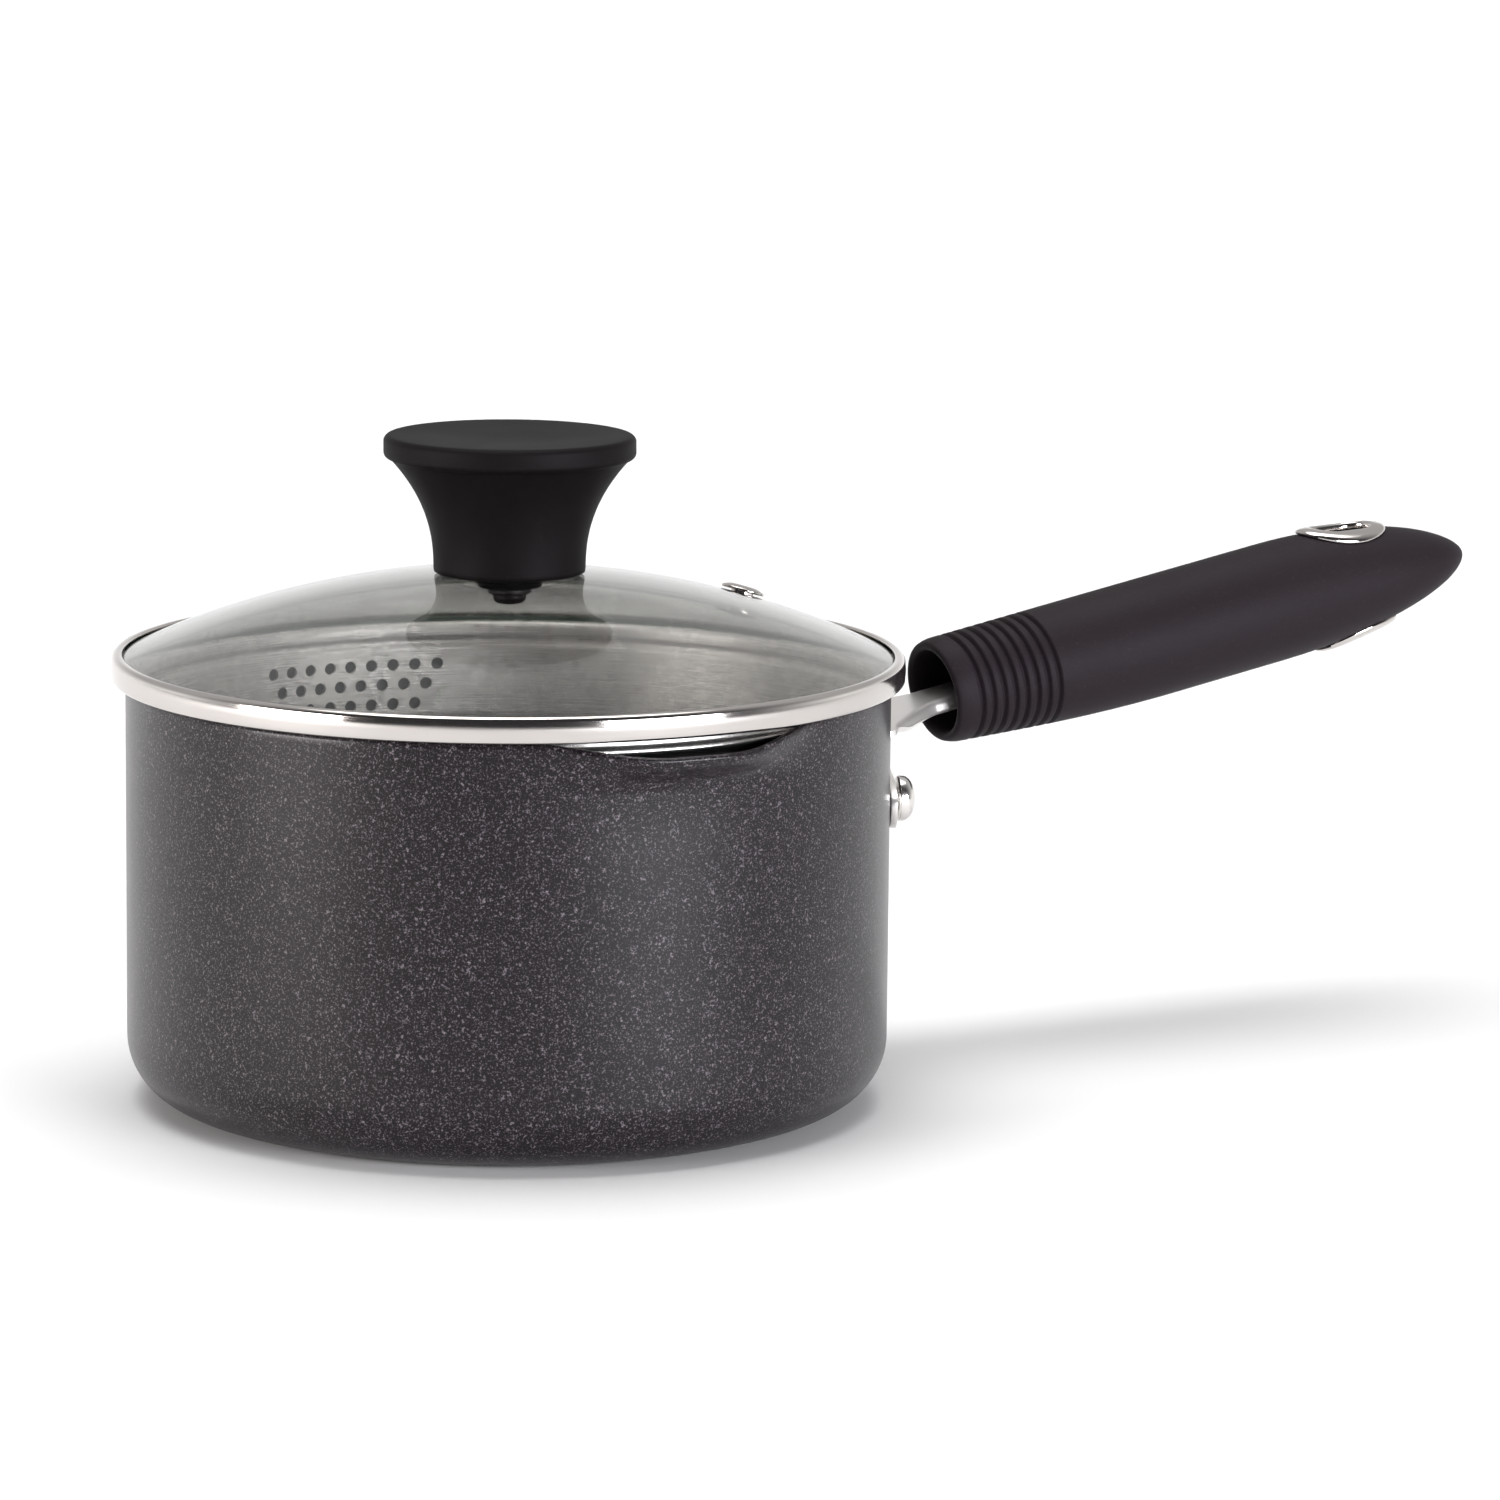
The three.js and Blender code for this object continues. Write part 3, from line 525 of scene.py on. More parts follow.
def make_pan():
    rim = PAN_WALL / 2
    corner = BASE_CORNER - PAN_WALL
    top = PAN_HEIGHT - rim
    outside = base_rings() + arc(PAN_R - BASE_CORNER, BASE_CORNER, BASE_CORNER, -90, 0, 20)
    outside += [(PAN_R, z) for z in spread(24, PAN_HEIGHT - SPOUT_FADE, 6)]
    outside += [(PAN_R, z) for z in spread(PAN_HEIGHT - 10.2, top, 12)]
    outside += arc(PAN_R - rim, top, rim, 20, 90, 4)
    inside = arc(PAN_R - rim, top, rim, 110, 180, 4)
    inside += [(PAN_INNER_R, z) for z in spread(top - 0.8, PAN_HEIGHT - SPOUT_FADE, 12) + spread(72, 22, 5)]
    inside += arc(PAN_INNER_R - corner, BASE_THICK + corner, corner, 0, -90, 16)
    inside += [(r, BASE_THICK) for r in (60, 40, 20)] + [(0, BASE_THICK)]
    pan = turned("pan_shell", outside + inside, [coating, nonstick], 288,
                 finish_of=lambda row: 0 if row < len(outside) else 1)
    for vertex in pan.data.vertices:
        vertex.co = lean_into_lips(vertex.co)
    return settle(cut(pan, *rivet_holes()), "pan", "pan_coating", "pan_body")


pan_shell = make_pan()

# %% [markdown]
# ## The handle bracket
# The bracket is one stamping: a plate curved to the pan with an ear for each rivet, bent outwards into a
# channel that narrows to the tang inside the grip. A single grid of rows, following the metal from the
# plate's lower edge up through the bend and out along the tang, keeps that flow. Thickness and rounded
# edges come from modifiers.

# %% The rows of the stamping
NECK_HALF, TANG_HALF, TANG_LENGTH, LIP_HEIGHT = 20, 7, 52, 3.4
BEND_R, ROUNDING, TURNED_DOWN = 4.0, 0.4, 2.2
NECK_END = -3  # along the handle from the grip's mouth
SHEET_SHARE = 0.82  # the sheet is made a little thinner than in the CAD


def handle_point(s, y, z):
    return Vector((MOUTH_DISTANCE + s * math.cos(SLOPE) - z * math.sin(SLOPE), y,
                   MOUTH_HEIGHT + s * math.sin(SLOPE) + z * math.cos(SLOPE)))


def plate_half_width(z):
    ear_y = PLATE_R * math.sin(EAR_ANGLE)
    up = z - EAR_HEIGHT
    if up < 0:
        return ear_y + math.sqrt(max(EAR_R ** 2 - up * up, 0))
    return NECK_HALF + (ear_y + EAR_R - NECK_HALF) * (1 - smooth(up / (EAR_R + 3)))


def bracket_rows():
    """Each row is (x, z, half width, roundness of the row, turned-down depth)."""
    x_wall = PLATE_R - BRACKET_SHEET / 2
    bend_z = MOUTH_HEIGHT - (MOUTH_DISTANCE - x_wall) * math.tan(SLOPE) + LIP_HEIGHT / 2 - BRACKET_SHEET / 2
    low = EAR_HEIGHT - EAR_R + ROUNDING
    heights = [low + (EAR_HEIGHT - low) * (1 - math.cos(math.pi / 2 * t)) for t in spread(0, 1, 8)]
    heights += spread(EAR_HEIGHT, bend_z - BEND_R, 9)[1:]
    rows = [(x_wall, z, plate_half_width(z) - ROUNDING, 1.0, 0.0) for z in heights]
    turn_end = math.pi / 2 - SLOPE
    for a in spread(0, turn_end, 8)[1:]:
        x = x_wall + BEND_R * (1 - math.cos(a))
        z = bend_z - BEND_R + BEND_R * math.sin(a)
        rows.append((x, z, NECK_HALF - ROUNDING, 1.0 - 0.15 * a / turn_end, 0.0))
    x0, z0 = rows[-1][0], rows[-1][1]
    start_s = (x0 - MOUTH_DISTANCE) / math.cos(SLOPE)
    for s in spread(start_s, NECK_END, 20)[1:] + spread(0, TANG_LENGTH - 1 - TANG_HALF, 6):
        t = min((s - start_s) / (NECK_END - start_s), 1)
        half = NECK_HALF + (TANG_HALF - NECK_HALF) * (1 - (1 - t) ** 1.35)
        x = x0 + (s - start_s) * math.cos(SLOPE)
        z = z0 + (s - start_s) * math.sin(SLOPE)
        rows.append((x, z, half - ROUNDING, 0.85 * (1 - smooth(t * 1.15)), TURNED_DOWN * smooth(t * 2.2)))
    return rows


print("the stamping has", len(bracket_rows()), "rows")


# %% Lay the rows out as a sheet
def make_bracket():
    columns = 48
    shape = bmesh.new()
    grid = []
    for x, z, half, roundness, depth in bracket_rows():
        line = []
        lean = SLOPE if depth > 0 else 0
        for i in range(columns + 1):
            u = 2 * i / columns - 1
            y = half * u
            sag = (PLATE_R - math.sqrt(PLATE_R ** 2 - y * y)) * roundness
            rim = smooth((abs(u) - 0.80) / 0.20)
            edge, drawn_in = rim * depth, 1 - rim * 0.10 * min(depth, 1)
            point = Vector((x - sag + edge * math.sin(lean), y * drawn_in, z - edge * math.cos(lean)))
            line.append(shape.verts.new(point * MM))
        grid.append(line)
    for low, high in zip(grid, grid[1:]):
        for i in range(columns):
            face = shape.faces.new((low[i], low[i + 1], high[i + 1], high[i]))
            face.smooth = True
    bracket = link("bracket_stamping", shape, satin_steel)
    thick = bracket.modifiers.new("thick", "SOLIDIFY")
    thick.thickness, thick.offset = BRACKET_SHEET * SHEET_SHARE * MM, 0
    soften = bracket.modifiers.new("soften", "BEVEL")
    soften.width, soften.segments, soften.angle_limit = 0.35 * MM, 3, math.radians(50)
    return settle(cut(bracket, *rivet_holes()), "pan", "stainless", "handle_bracket")


bracket = make_bracket()

# %% [markdown]
# ## Rivets
# Each rivet holds an ear to the wall: a domed head outside, a shank through both sheets and a flatter
# head formed inside. Turning it about its own axis and laying it along the pan's radius gives both, with
# one profile.

# %% Two domed rivets
RIVET_HEAD_R, RIVET_HEAD_HEIGHT, RIVET_TAIL = 5, 4, 1.5


def make_rivet(name, side, node):
    inner = PAN_INNER_R - GAP - (PAN_INNER_R - on_sphere(PAN_INNER_R, RIVET_HEAD_R))
    outer = PLATE_R + GAP
    profile = [(0, inner - RIVET_TAIL), (3.2, inner - RIVET_TAIL + 0.08)]
    profile += arc(RIVET_HEAD_R - 1.0, inner - RIVET_TAIL + 1.0, 1.0, -80, 0, 6) + [(RIVET_HEAD_R, inner)]
    profile += [(EAR_SHANK_R, inner), (EAR_SHANK_R, outer), (RIVET_HEAD_R - 0.3, outer)]
    profile += arc(RIVET_HEAD_R - 0.4, outer + 0.5, 0.4, -50, 20, 4)
    profile += [(RIVET_HEAD_R * math.cos(a) ** 0.8, outer + 0.9 + (RIVET_HEAD_HEIGHT - 0.95) * math.sin(a))
                for a in [math.radians(d) for d in (12, 22, 32, 42, 52, 62, 72, 81)]]
    profile += [(0, outer + RIVET_HEAD_HEIGHT - 0.05)]
    rivet = turned(name, profile, [tumbled_steel], 48, rivet_place(side))
    return settle(rivet, "pan", "stainless", node)


rivets = [make_rivet("rivet_right", -1, "right_rivet"), make_rivet("rivet_left", 1, "left_rivet")]

# %% [markdown]
# ## The grip
# The grip is a soft sleeve moulded over a hard core. Its top line runs nearly straight while the
# underside curves up to a blunt end, and the end widens as it flattens. Eight grooves near the mouth stop
# a thumb from sliding. The section at each station is a ring, so grooves, lip and taper are all changes
# of radius along one line.

# %% Radius and middle of the grip along its length
SLEEVE_WALL, SLEEVE_NOSE, COLLAR = 2.6, 14, 5
GROOVES, GROOVE_PITCH, GROOVE_WIDTH, GROOVE_DEPTH = 8, 2.8, 1.6, 0.95
STRAIGHT = GRIP_LENGTH - GRIP_TAPER
WIDEN, TIP_GAP = 0.6, 0.03  # the end is wider than high, and stops just inside the CAD's end


def taper_at(s):
    return min(max((s - STRAIGHT) / GRIP_TAPER, 0), 1)


def grip_radius(s):
    if s > STRAIGHT:
        return GRIP_R * (1 - taper_at(s) ** 2) ** 0.62
    return GRIP_MOUTH_R + (GRIP_R - GRIP_MOUTH_R) * math.sin(math.pi / 2 * min(max(s / GRIP_SWELL, 0), 1))


def grip_middle(s):
    return GRIP_R - 0.5 - grip_radius(min(s, STRAIGHT)) - 0.7 * taper_at(s) ** 3


def groove_at(s):
    along = (s - COLLAR) / GROOVE_PITCH
    if not 0 <= along < GROOVES:
        return 0.0
    from_middle = abs((along % 1) * GROOVE_PITCH - GROOVE_WIDTH / 2)
    return GROOVE_DEPTH * smooth(1 - from_middle / (GROOVE_WIDTH / 2)) ** 0.75


def grip_ring(s, radius, segments=96):
    widen = 1 + WIDEN * taper_at(s) ** 2
    if radius == 0:
        return [handle_point(s, 0, grip_middle(s)) * MM]
    angles = [2 * math.pi * i / segments for i in range(segments)]
    return [handle_point(s, radius * widen * math.cos(a), grip_middle(s) + radius * math.sin(a)) * MM
            for a in angles]


print("grip radius at its mouth and middle", [round(grip_radius(s), 1) for s in (0, STRAIGHT)])


# %% The sleeve and its hanging slot
EYELET_S = GRIP_LENGTH - 31.5
EYELET_LONG, EYELET_WIDE, EYELET_FLANGE, EYELET_SHEET = 14, 8, 4, 0.8


def slot_outline(margin, oval=0.0, count=72):
    """Points round a slot with round ends, its length along the handle, drawn towards an oval further out."""
    r = EYELET_WIDE / 2 + margin
    straight = EYELET_LONG / 2 - EYELET_WIDE / 2
    points = []
    for i in range(count):
        a = 2 * math.pi * (i + 0.5) / count
        shift = math.copysign(straight, math.cos(a))
        long, wide = (r + straight) * math.cos(a), r * math.sin(a)
        along = (shift + r * math.cos(a)) * (1 - oval) + long * oval
        points.append((EYELET_S + along, wide))
    return points


def slot_cutter(margin):
    ends = (-20, 20)
    levels = [[handle_point(s, y, z) * MM for s, y in slot_outline(margin)] for z in ends]
    caps = [[handle_point(EYELET_S, 0, z) * MM] for z in ends]
    return skin_over("slot", [caps[0], levels[0], levels[1], caps[1]], [])


def make_grip():
    cavity_end = GRIP_LENGTH - SLEEVE_NOSE
    inner = [(s, grip_radius(s) - SLEEVE_WALL) for s in
             [cavity_end] + spread(cavity_end - 10, STRAIGHT, 4) + spread(STRAIGHT - 8, 4, 10)]
    lip = 1.1
    mouth = [(1.4, GRIP_MOUTH_R - SLEEVE_WALL + 0.25)]
    mouth += [(lip - lip * math.sin(a), GRIP_MOUTH_R - lip - 0.25 + lip * math.cos(a) * 0.95)
              for a in [math.radians(d) for d in (150, 125, 100, 75, 50, 25, 0)]]
    fine = [1.6 + 0.2 * i for i in range(int((COLLAR + GROOVES * GROOVE_PITCH - 1.6) / 0.2) + 3)]
    outer = [(s, grip_radius(s) - 0.2 * (1 - smooth((s - lip) / 2)) - groove_at(s)) for s in fine]
    outer += [(s, grip_radius(s)) for s in spread(fine[-1] + 2, STRAIGHT, 18)]
    outer += [(STRAIGHT + (GRIP_TAPER - TIP_GAP) * t, grip_radius(STRAIGHT + GRIP_TAPER * t))
              for t in [math.sin(math.pi / 2 * q) for q in spread(0.04, 0.985, 34)]]
    stations = [(cavity_end, 0)] + inner + mouth + outer + [(GRIP_LENGTH - TIP_GAP, 0)]
    rings = [grip_ring(s, r) for s, r in stations]
    grip = skin_over("grip_sleeve", rings, [soft_grip], sharp=60)
    return settle(cut(grip, slot_cutter(EYELET_SHEET + GAP)), "pan", "soft_grip", "handle_grip")


grip = make_grip()

# %% [markdown]
# ## The hanging eyelet
# A bright oval eyelet lines the slot. Each half is a flange bent over the round grip like a saddle, with
# a tube that meets the other half inside. Rings of slot-shaped outlines, each lying on the grip's
# surface, make that saddle without any fitting by hand.

# %% Surface of the grip under a point
def grip_surface(s, y, side):
    radius = grip_radius(s)
    share = min(abs(y) / (radius * (1 + WIDEN * taper_at(s) ** 2)), 0.97)
    return grip_middle(s) + side * radius * math.sqrt(1 - share * share)


def make_eyelet(name, side, node):
    rings = []
    lift = 0.25
    steps = [(EYELET_FLANGE, lift), (EYELET_FLANGE + 0.1, lift + 0.35), (EYELET_FLANGE - 0.25, lift + 0.75),
             (EYELET_FLANGE * 0.75, lift + 0.95), (EYELET_FLANGE * 0.45, lift + 1.05),
             (EYELET_FLANGE * 0.2, lift + 1.0), (0.35, lift + 0.75), (0.08, lift + 0.3), (0.0, -0.6)]
    for margin, height in steps:
        rings.append([handle_point(s, y, grip_surface(s, y, side) + side * height) * MM
                      for s, y in slot_outline(margin, margin / EYELET_FLANGE)])
    for margin in (0.0, EYELET_SHEET):
        rings.append([handle_point(s, y, side * GAP / 2) * MM for s, y in slot_outline(margin)])
    rings.append([handle_point(s, y, grip_surface(s, y, side) - side * 0.6) * MM
                  for s, y in slot_outline(EYELET_SHEET)])
    rings.append([handle_point(s, y, grip_surface(s, y, side) + side * lift) * MM
                  for s, y in slot_outline(EYELET_SHEET + 0.1)])
    eyelet = skin_over(name, rings, [buffed_steel], joined=True, sharp=50)
    return settle(eyelet, "pan", "stainless", node)


eyelets = [make_eyelet("eyelet_upper", 1, "hanging_eyelet_upper"),
           make_eyelet("eyelet_lower", -1, "hanging_eyelet_lower")]

# %% [markdown]
# ## The glass
# The pane is a shallow dome pressed from flat glass, with a hole for the knob's screw and one for the
# vent. Its two faces are parts of spheres about one centre, so it is the same thickness everywhere and
# does not act as a lens.

# %% Dome with its holes
VENT_DISTANCE, VENT_BORE, VENT_TUBE, VENT_FLANGE_R, VENT_FLANGE_HEIGHT = 57, 1.8, 0.8, 4.8, 1.3
VENT_TILT = math.asin(VENT_DISTANCE / DOME_R)
SCREW_HOLE_R = 2.9


def vent_place():
    return (Matrix.Translation((0, 0, DOME_CENTRE * MM)) @ Matrix.Rotation(VENT_TILT, 4, "Y")
            @ Matrix.Translation((0, 0, DOME_R * MM)))


def make_glass():
    inner_r = DOME_R - GLASS_THICK
    bevel = 0.5
    under = [(r, DOME_CENTRE + on_sphere(inner_r, r)) for r in spread(SCREW_HOLE_R, GLASS_EDGE_R - bevel, 44)]
    low = DOME_CENTRE + on_sphere(inner_r, GLASS_EDGE_R)
    high = DOME_CENTRE + on_sphere(DOME_R, GLASS_EDGE_R)
    edge = [(GLASS_EDGE_R, low + bevel), (GLASS_EDGE_R, high - bevel)]
    over = [(r, DOME_CENTRE + on_sphere(DOME_R, r)) for r in spread(GLASS_EDGE_R - bevel, SCREW_HOLE_R, 44)]
    glass = turned("glass_pane", under + edge + over, [pane_glass, edge_glass], 256, joined=True,
                   finish_of=lambda row: 1 if len(under) - 1 <= row <= len(under) + 1 else 0)
    r = VENT_BORE + VENT_TUBE + GAP
    hole = turned("hole", [(0, -6), (r, -6), (r, 6), (0, 6)], [], 48, vent_place())
    return settle(cut(glass, hole), "lid", "lid_glass", "lid_glass")


glass = make_glass()

# %% [markdown]
# ## The rim band
# A stainless strip is rolled round the edge of the glass: a lip below that rests on the pan, a rounded
# outer wall, and a narrow fold over the top of the pane. The outer wall is slightly crowned, which is
# what gives a rolled band its long bright highlight.

# %% Rolled section
def make_band():
    fold_r = BAND_R - BAND_FOLD
    fold_low = DOME_CENTRE + on_sphere(DOME_R, fold_r) + GAP
    top = fold_low + SHEET
    crown = BAND_R - 0.02
    bottom = BAND_BOTTOM
    outside = [(BAND_INNER_R, bottom + 0.1), (BAND_INNER_R + 0.15, bottom)]
    outside += [(crown - 1.6, bottom)] + arc(crown - 1.1, bottom + 1.0, 1.0, -80, -20, 6)
    outside += [(crown - 0.12, bottom + 1.4), (crown - 0.02, bottom + 2.2), (crown, bottom + 2.9),
                (crown - 0.06, bottom + 3.6)]
    outside += arc(crown - 1.45, top - 1.35, 1.35, 12, 100, 10)
    outside += [(fold_r + 0.25, top - 0.02), (fold_r, top - 0.2), (fold_r, fold_low + 0.1)]
    inside = [(fold_r + 0.15, fold_low), (crown - 1.6, fold_low), (crown - SHEET - 0.35, fold_low - 0.5),
              (crown - SHEET - 0.05, fold_low - 1.2), (crown - SHEET - 0.05, bottom + 1.6),
              (crown - SHEET - 0.5, bottom + SHEET + 0.15), (crown - SHEET - 0.9, bottom + SHEET),
              (BAND_INNER_R + 0.15, bottom + SHEET), (BAND_INNER_R, bottom + SHEET - 0.1)]
    band = turned("rim_band", outside + inside, [buffed_steel], 256, joined=True, sharp=60)
    return settle(band, "lid", "stainless", "lid_rim_band")


band = make_band()

# %% [markdown]
# ## The straining skirt
# The skirt hangs inside the pan from a flange that lies on the rim band. Its holes sit over the pouring
# lips: big ones for boiled vegetables on one side, small ones for rice on the other. They are punched
# through the real sheet, because a strainer seen through glass needs holes that show what is behind them.

# %% Punches and the turned sheet
def punches(side, r, pitch, top_row, rows=3, sides=16):
    middle = BAND_BOTTOM - SKIRT_DEPTH + (SKIRT_DEPTH - BEAD_DROP - BEAD_HEIGHT / 2) / 2
    shape = bmesh.new()
    for row in range(rows):
        count = top_row - row
        z = middle + pitch * 0.88 * ((rows - 1) / 2 - row)
        for i in range(count):
            turn = side * math.pi / 2 + (i - (count - 1) / 2) * pitch / SKIRT_R
            place = (Matrix.Rotation(turn, 4, "Z") @ Matrix.Translation((SKIRT_R * MM, 0, z * MM))
                     @ Matrix.Rotation(math.pi / 2, 4, "Y"))
            bmesh.ops.create_cone(shape, cap_ends=True, segments=sides, radius1=r * MM, radius2=r * MM,
                                  depth=4 * MM, matrix=place)
    return link("punch", shape)


def make_skirt():
    inner = SKIRT_R - SHEET
    bottom, flange_low = BAND_BOTTOM - SKIRT_DEPTH, BAND_BOTTOM + SHEET + GAP
    bead_z = BAND_BOTTOM - BEAD_DROP
    low, high = bead_z - BEAD_HEIGHT / 2, bead_z + BEAD_HEIGHT / 2
    flange_r = GLASS_EDGE_R - 2.3

    def bulge(z):
        return BEAD_REACH * math.sin(math.pi * (z - low) / BEAD_HEIGHT) ** 2 if low < z < high else 0

    outside = [(inner + 0.3, bottom), (SKIRT_R - 0.1, bottom + 0.05), (SKIRT_R, bottom + 0.3)]
    outside += [(SKIRT_R, z) for z in spread(bottom + 1.5, low - 0.4, 8)]
    outside += [(SKIRT_R + bulge(z), z) for z in spread(low, high, 14)]
    outside += [(SKIRT_R, flange_low - 1.4)] + arc(SKIRT_R + 1.0, flange_low - 1.0, 1.0, 180, 90, 5)[1:]
    outside += [(flange_r, flange_low), (flange_r, flange_low + SHEET)]
    inside = arc(inner + 1.6, flange_low + SHEET - 1.6, 1.6, 90, 180, 6)
    inside += [(inner + bulge(z), z) for z in spread(high, low, 14)]
    inside += [(inner, z) for z in spread(low - 0.4, bottom + 1.5, 8)] + [(inner, bottom + 0.3)]
    # The outside rows get the steel painted darker as shade for the dark pan around them.
    skirt = turned("straining_skirt", outside + inside, [rolled_steel, shaded_steel], 256, joined=True,
                   sharp=50, finish_of=lambda row: 1 if row < len(outside) - 3 else 0)
    tools = punches(1, 1.4, 5.2, 9), punches(-1, 0.8, 3.6, 11)
    return settle(cut(skirt, *tools), "lid", "stainless", "strainer_skirt")


skirt = make_skirt()

# %% [markdown]
# ## The steam vent
# A hollow rivet in the glass lets steam out. The upper half is a tube with a domed flange, and the lower
# ring is swaged onto it, so the glass is held between two soft radii and not by a sharp corner.

# %% Vent in two pieces
def make_vent():
    tube = VENT_BORE + VENT_TUBE
    sag = DOME_R - GLASS_THICK - on_sphere(DOME_R - GLASS_THICK, VENT_FLANGE_R)
    ring_top = -GLASS_THICK - sag - GAP
    ring_low = ring_top - VENT_FLANGE_HEIGHT
    upper = [(VENT_BORE, ring_low), (tube - 0.15, ring_low), (tube, ring_low + 0.15), (tube, GAP), (4.5, GAP)]
    upper += arc(4.45, GAP + 0.35, 0.35, -60, 60, 5)
    upper += [(4.0, GAP + 0.92), (3.5, GAP + 1.14), (3.0, GAP + 1.26), (2.6, GAP + 1.3), (2.25, GAP + 1.22),
              (1.95, GAP + 0.98), (VENT_BORE, GAP + 0.6)]
    lower = [(tube + GAP, ring_top), (tube + GAP, ring_low + 0.2), (tube + GAP + 0.2, ring_low)]
    lower += arc(VENT_FLANGE_R - 0.6, ring_low + 0.6, 0.6, -80, 10, 6) + [(VENT_FLANGE_R, ring_top)]
    for name, profile, node in (("vent_upper", upper, "vent_grommet_upper"),
                                ("vent_lower", lower, "vent_grommet_lower")):
        piece = turned(name, profile, [buffed_steel], 64, vent_place(), joined=True)
        settle(piece, "lid", "stainless", node)


make_vent()

# %% [markdown]
# ## The knob
# The knob is a flared stem under a thick flat rim, so fingers can hook beneath it. Its soft layer is
# moulded over a hard core. Where the stem meets the rim the mould leaves a crisp corner, while the rim's
# own edges are rounded, so the profile keeps one sharp point and spreads the others over small arcs. The
# foot of the shell hangs a little below the core, so that hardly any gap shows over the glass.

# %% Flared stem and rounded rim
STEM_HEIGHT = KNOB_HEIGHT - KNOB_RIM_HEIGHT
KNOB_SHELL, KNOB_DISH, RIM_ROUND, KNOB_SKIRT = 2.4, 0.7, 1.4, 0.85
CORE_CURVE, CORE_ROOM = 1.897, 0.7  # the hollow follows the core, which flares sooner than the stem


def stem_radius(h, curve=2.3):
    return KNOB_BASE_R + KNOB_FLARE * max(h / STEM_HEIGHT, 0) ** curve


def make_knob():
    core_top = KNOB_HEIGHT - KNOB_SHELL - KNOB_DISH
    rim = KNOB_RIM_R - 0.01
    outside = [(KNOB_BASE_R - KNOB_SHELL, -0.4), (KNOB_BASE_R - 0.6, -KNOB_SKIRT)]
    outside += [(KNOB_BASE_R - 0.1, 0.3 - KNOB_SKIRT)]
    outside += [(stem_radius(h), h) for h in spread(0.3, STEM_HEIGHT - 0.2, 30)]
    outside += [(stem_radius(STEM_HEIGHT) + 0.05, STEM_HEIGHT)]
    outside += arc(rim - 1.3, STEM_HEIGHT + 1.5, 1.3, -70, 0, 6)
    outside += arc(rim - RIM_ROUND, KNOB_HEIGHT - RIM_ROUND, RIM_ROUND, 8, 90, 9)
    top = [(rim * t, KNOB_HEIGHT - KNOB_DISH * (1 - (rim * t / (rim - RIM_ROUND)) ** 2) ** 1.5)
           for t in spread(0.90, 0.06, 16)]
    inside = [(0, KNOB_HEIGHT - KNOB_DISH), (0, core_top), (stem_radius(STEM_HEIGHT) - KNOB_SHELL, core_top)]
    inside += [(stem_radius(h, CORE_CURVE) - KNOB_SHELL - CORE_ROOM * h / STEM_HEIGHT, h)
               for h in spread(STEM_HEIGHT, 2.0, 10)]
    profile = [(r, h + KNOB_BASE) for r, h in outside + top + inside]
    knob = turned("knob_shell", profile, [soft_knob_painted_shade], 160, joined=True, sharp=55)
    return settle(knob, "knob", "soft_grip", "knob_grip")


knob = make_knob()

# %% [markdown]
# ## What is under the knob
# Through the glass a dark cone shows under the knob: a rubber gasket, a washer and the head of the screw
# that pulls the knob tight. The screw gets a real cross recess, since anyone who lifts the lid looks
# straight at it.

# %% Gasket, washer and screw
def make_knob_fixing():
    sag = DOME_R - GLASS_THICK - on_sphere(DOME_R - GLASS_THICK, 7.2)
    gasket_top = GLASS_UNDER - sag - GAP
    gasket_low = gasket_top - 1.6
    gasket = [(SCREW_HOLE_R - 0.3, gasket_low), (4.6, gasket_low)]
    gasket += arc(6.0, gasket_low + 1.0, 1.0, -70, 0, 6) + [(7.2, gasket_top - 0.3), (7.2, gasket_top)]
    gasket += [(SCREW_HOLE_R - 0.3, gasket_top)]
    settle(turned("lower_seal", gasket, [silicone], 64, joined=True), "knob", "silicone", "lower_gasket")
    # The washer and the screw are stainless; their near-black colour is painted shade for the dark under the
    # knob.
    washer_top = gasket_low - GAP
    washer = [(2.6, washer_top), (2.6, washer_top - 0.7), (2.75, washer_top - 0.8)]
    washer += arc(4.35, washer_top - 0.55, 0.25, -90, 0, 4) + [(4.6, washer_top)]
    settle(turned("washer", washer, [dark_steel_painted_shade], 64, joined=True), "knob", "stainless", "screw_washer")
    head_top = washer_top - 0.8 - GAP
    head = [(0, head_top - 1.9)] + [(3.6 * math.sin(a), head_top - 0.6 - 1.3 * math.cos(a))
                                    for a in [math.radians(d) for d in (15, 30, 45, 60, 75, 90)]]
    head += [(3.6, head_top), (2.0, head_top)]
    thread = []
    end, first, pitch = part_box("knob_screw")[1].z / MM, head_top + 3, 0.7
    for i in range(int((end - 1.2 - first) / pitch)):
        z = first + i * pitch
        thread += [(1.75, z), (2.0, z + 0.25), (2.0, z + 0.35), (1.75, z + 0.6)]
    screw = turned("screw", head + thread + [(1.7, end - 0.9), (0.9, end), (0, end)], [dark_steel_painted_shade], 40)
    cross = bmesh.new()
    middle = Matrix.Translation((0, 0, (head_top - 1.7) * MM))
    for long, wide in ((4.2, 0.9), (0.9, 4.2)):
        size = Matrix.Diagonal((long * MM, wide * MM, 2.2 * MM, 1))
        bmesh.ops.create_cube(cross, size=1, matrix=middle @ size)
    settle(cut(screw, link("cross", cross)), "knob", "stainless", "knob_screw")


make_knob_fixing()

# %% [markdown]
# ## Carried-over pieces
# The rest is hidden inside the handle and the knob, and the CAD shapes are right as they are. They only
# need the finish of the real piece, so a material is put in each object's slot.

# %% Finishes for the CAD pieces that stay
for node, finish in {"handle_core": hard_plastic, "knob_core": hard_plastic, "tang_screw": tumbled_steel,
                     "knob_insert": brass, "knob_gasket": silicone}.items():
    for material_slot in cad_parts[node].material_slots:
        material_slot.material = finish
    print(node, "has", finish.name)

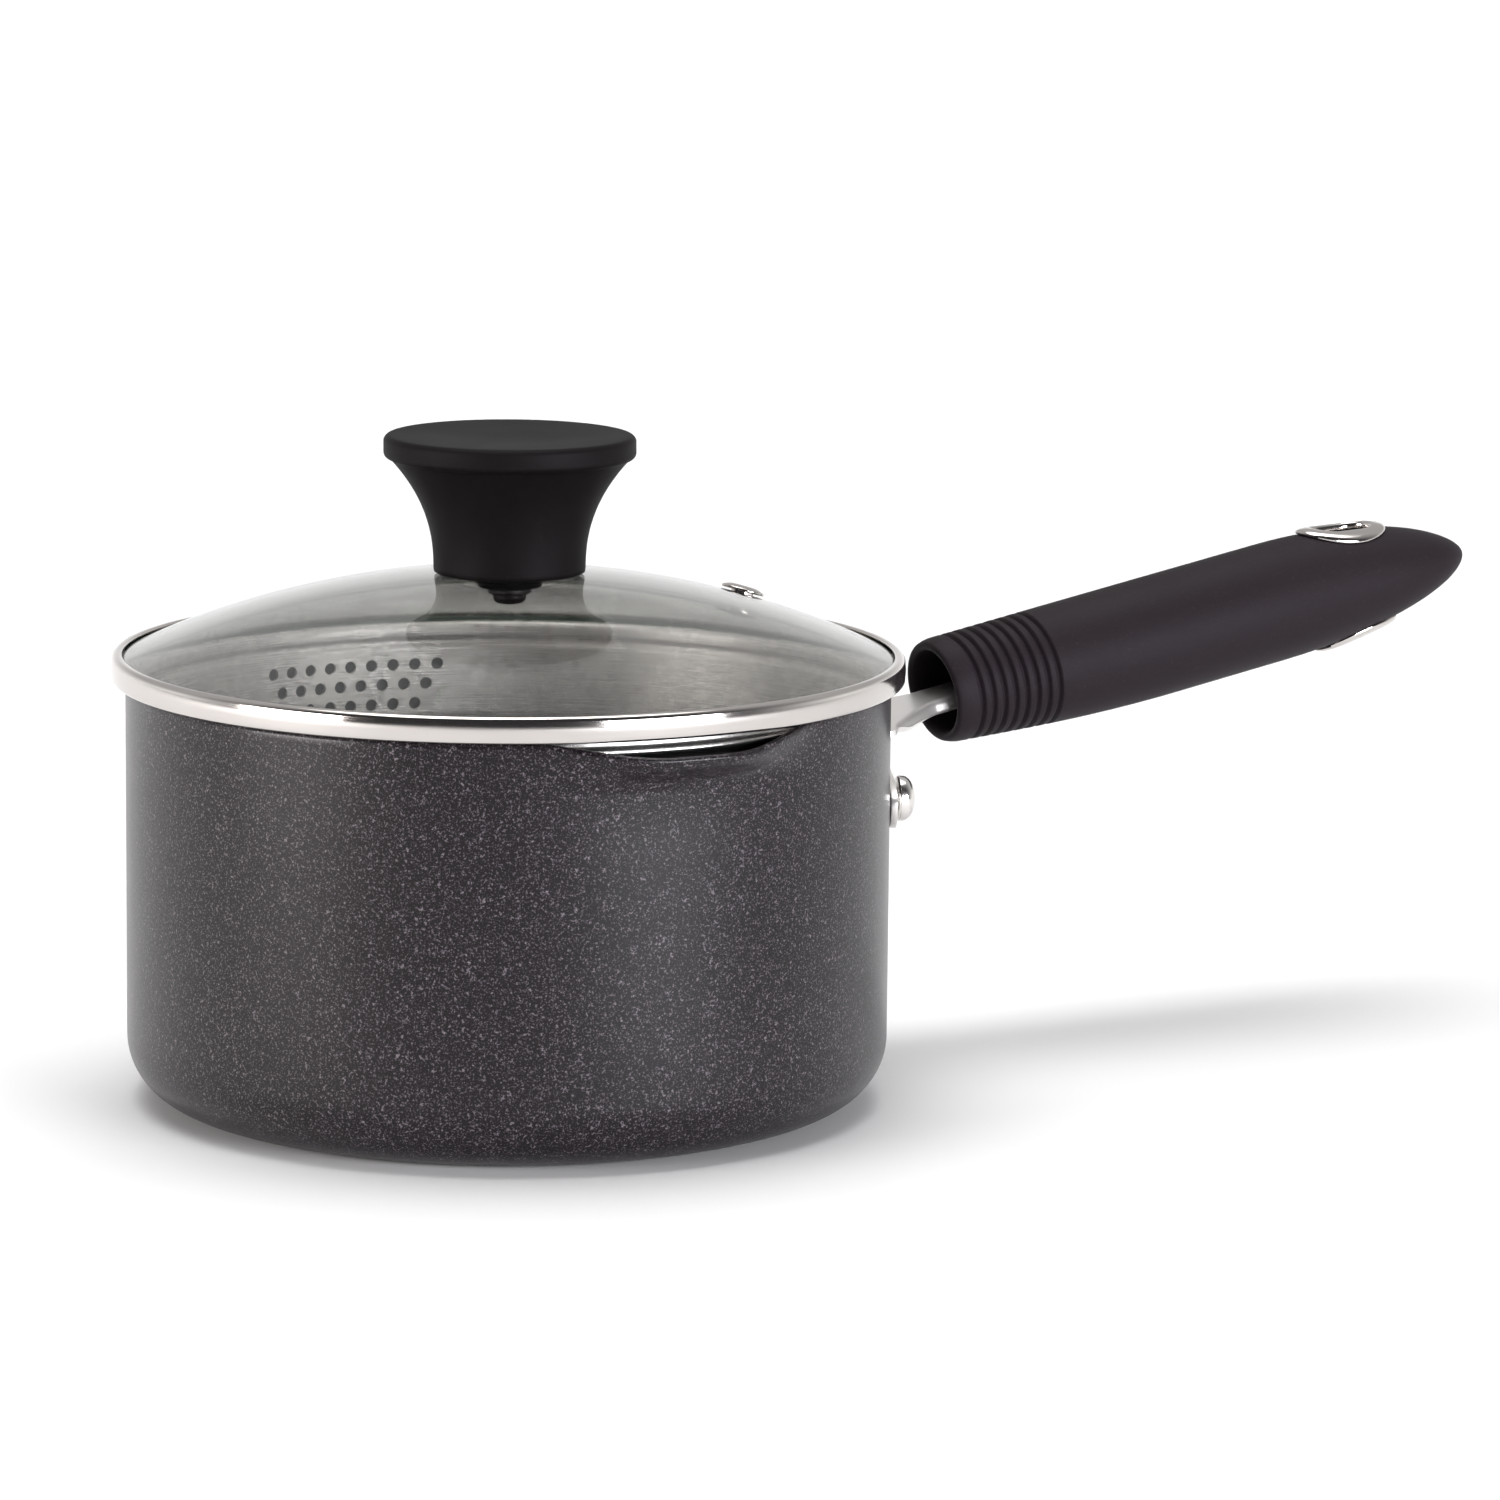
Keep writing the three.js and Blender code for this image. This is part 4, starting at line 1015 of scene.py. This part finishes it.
# %% [markdown]
# ## Floor and light
# A pale floor runs out behind the pan, and the light is what a product studio uses: a bright sweep
# behind, a wide ceiling over it, a low soft panel on each side and a dim room in front. Dark satin metal
# then shows two soft light bands with a darker stripe between them, which is how the eye reads that it is
# round. The panels are low, so that the domed lid mirrors little of them.

# %% A pale floor
def make_floor():
    shape = bmesh.new()
    bmesh.ops.create_grid(shape, x_segments=2, y_segments=2, size=7)
    finish = Finish("pale_floor")
    shade = finish.blend(finish.noise(finish.place(), 3, 2), (0.86, 0.86, 0.86), (0.89, 0.89, 0.89))
    floor = link("floor", shape, finish.surface(finish.skin(Base_Color=shade, Roughness=0.75)))
    floor.location = (0, 0, -0.3 * MM)


make_floor()
print("floor is in place")


# %% The room
BEHIND = Vector((math.sin(VIEW_TURN), math.cos(VIEW_TURN), 0))


def make_room():
    world = bpy.data.worlds.new("studio")
    bpy.context.scene.world = world
    room = Finish("studio", world)
    way = room.node("TexCoord", output="Generated")
    behind, above = [room.node("VectorMath", {"operation": "DOT_PRODUCT"}, {0: way, 1: side}, output="Value")
                     for side in (BEHIND, (0, 0, 1))]
    low = 1 - room.between(above, 0.02, 0.36) * 0.55
    share = room.between(behind, -0.38, 0.36) * low
    light = room.blend(share, (0.035, 0.034, 0.036), (1.0, 1.0, 1.0))
    glow = room.node("Background", None, {"Color": light, "Strength": 1.12})
    room.node("OutputWorld", None, {"Surface": glow})
    print("the room is bright behind and dim in front")


# %% Lamps
PANEL_HEIGHT, PANEL_TALL, PANEL_AIM = 0.29, 0.56, Vector((0.03, 0, 0.06))


def lamp(name, place, power, shape, size, tint=(1, 1, 1), spread_angle=180):
    light = bpy.data.lights.new(name, "AREA")
    light.shape, light.size, light.size_y = shape, size[0], size[1]
    light.energy, light.color, light.spread = power, tint, math.radians(spread_angle)
    made = bpy.data.objects.new(name, light)
    made.location = place
    bpy.context.collection.objects.link(made)
    print(name, "gives", power, "watts")
    return made


def panel(name, turn, distance, width, power, tint):
    """A low upright panel; turn is its direction seen from above, in degrees from the right of the view."""
    angle = math.radians(turn) - VIEW_TURN
    place = distance * math.cos(angle), distance * math.sin(angle), PANEL_HEIGHT
    made = lamp(name, place, power, "RECTANGLE", (width, PANEL_TALL), tint)
    aim = PANEL_AIM - made.location
    made.rotation_euler = aim.to_track_quat("-Z", "Y").to_euler()


make_room()
panel("left_panel", 206, 1.6, 0.9, 21, (1.0, 0.955, 0.94))
panel("right_panel", -46, 1.7, 1.0, 34, (0.95, 0.955, 1.0))
# The ceiling shines straight down behind the pan: the floor stays even, and the glass does not mirror it.
lamp("ceiling", BEHIND * 5.9 + Vector((0, 0, 4)), 430, "SQUARE", (12, 12), spread_angle=64)
bpy.context.scene.view_settings.view_transform = "Standard"
